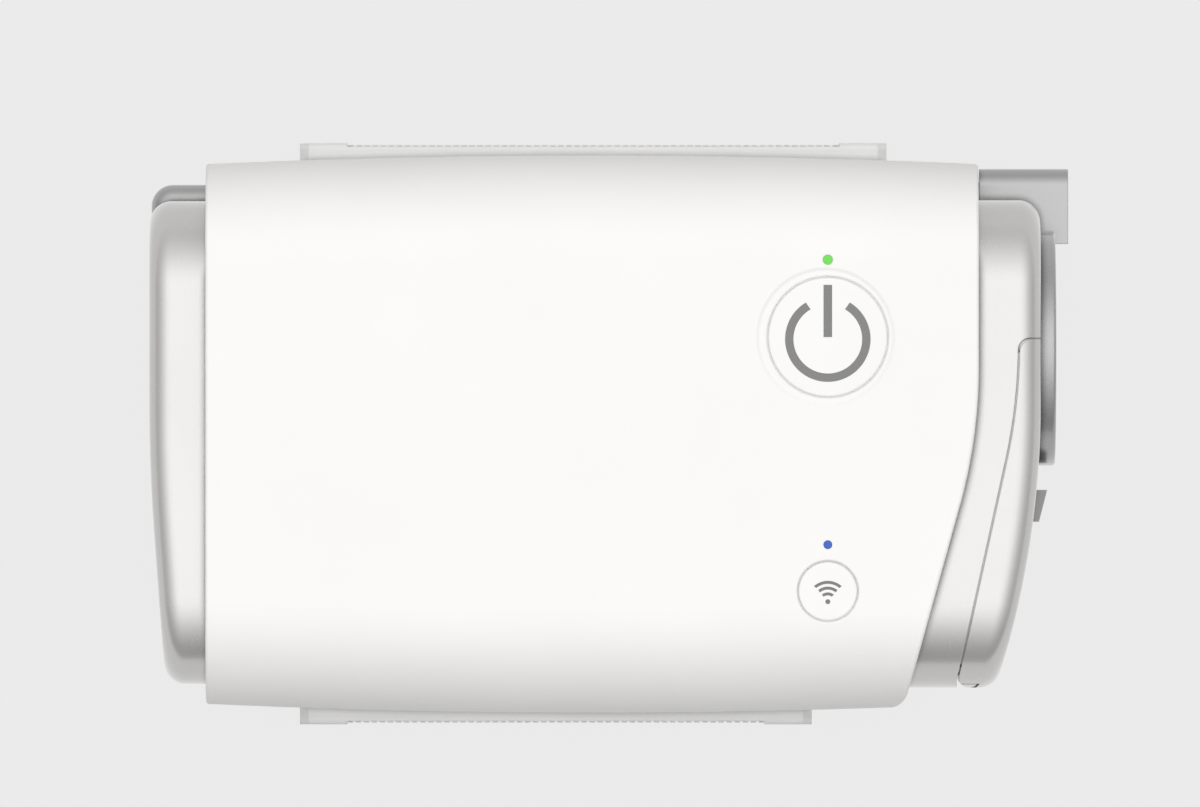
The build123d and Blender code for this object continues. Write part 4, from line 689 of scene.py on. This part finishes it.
# the stage: a world that lights all, a plain floor, and a camera straight above
studio = {
    "backdrop": shade(235), "shadowShare": 0.08,
    "floor": 0.3, "floorGloss": 1.0, "floorRoughness": 0.9, "floorSize": 16.0,
    "skyLow": 0.32, "skyRise": 1.46, "skyPower": 2.0, "rearGain": 0.2,
    "horizonGloss": 0.44, "horizonHeights": (0.8, -0.1),  # gloss gains light from the first down to the second
}
lens = {
    "frameWidth": 177.36 * mm, "distance": 5.0, "aim": (-1.48 * mm, 4.51 * mm, 38.0 * mm), "sensor": 36.0,
    "clip": (0.1, 20.0),
}


def makeFloor():  # it shows the backdrop colour to the camera, a little lighter in gloss, and keeps a shadow
    bpy.ops.object.select_all(action="DESELECT")
    bpy.ops.mesh.primitive_plane_add(size=studio["floorSize"], location=(0, 0, 0))
    floor = bpy.context.object
    floor.name = "studioFloor"
    finish = Finish("studioFloor")
    finish.set("Base Color", (studio["floor"],) * 3)
    finish.set("Roughness", studio["floorRoughness"])
    finish.set("Specular IOR Level", 0.0)
    rays = ("Is Camera Ray", "Is Glossy Ray", "Is Transmission Ray")
    camera, gloss, through = [finish.node("ShaderNodeLightPath", {}, {}, ray) for ray in rays]
    share = studio["shadowShare"]
    glow = (studio["backdrop"] - share * studio["floor"]) / (1 - share)
    strength = gloss * (studio["floorGloss"] / glow - 1.0) + 1.0
    seen = finish.node("ShaderNodeEmission", {}, {"Color": (glow, glow, glow, 1.0), "Strength": strength})
    blend = finish.node("ShaderNodeMixShader", {}, {0: (camera + gloss + through) * (1 - share), 2: seen})
    finish.tree.links.new(finish.shader.outputs[0], blend.socket.node.inputs[1])
    finish.tree.links.new(blend.socket, finish.tree.nodes["Material Output"].inputs["Surface"])
    floor.data.materials.append(finish.material)


class Sky(Finish):
    def __init__(self, name):
        self.world = bpy.data.worlds.new(name)
        self.world.use_nodes = True
        self.tree = self.world.node_tree
        self.shader = self.tree.nodes["Background"]
        self.place = self.node("ShaderNodeTexCoord", {}, {}, "Generated")


def makeSky():  # one large soft light overhead, that fades towards the horizon and is stronger at the rear
    sky = Sky("studioSky")
    side = sky.node("ShaderNodeSeparateXYZ", {}, {"Vector": sky.place}, "Y")
    height = sky.node("ShaderNodeSeparateXYZ", {}, {"Vector": sky.place}, "Z")
    rise = sky.ramp(height, 0.0, 1.0) ** studio["skyPower"]
    light = rise * studio["skyRise"] + studio["skyLow"] + side * studio["rearGain"]
    gloss = sky.node("ShaderNodeLightPath", {}, {}, "Is Glossy Ray")
    light = light + gloss * sky.ramp(height, *studio["horizonHeights"]) * studio["horizonGloss"]
    camera = sky.node("ShaderNodeLightPath", {}, {}, "Is Camera Ray")
    sky.set("Color", light * (1.0 - camera) + camera * studio["backdrop"])
    bpy.context.scene.world = sky.world


def makeCamera():
    data = bpy.data.cameras.new("studioCamera")
    data.sensor_width = lens["sensor"]
    data.lens = lens["sensor"] * lens["distance"] / lens["frameWidth"]
    data.clip_start, data.clip_end = lens["clip"]
    camera = bpy.data.objects.new("studioCamera", data)
    bpy.context.scene.collection.objects.link(camera)
    camera.location = Vector(lens["aim"]) + Vector((0, 0, lens["distance"]))
    bpy.context.scene.camera = camera


makeFloor()
makeSky()
makeCamera()
bpy.context.scene.view_settings.view_transform = "Standard"
print("studio")
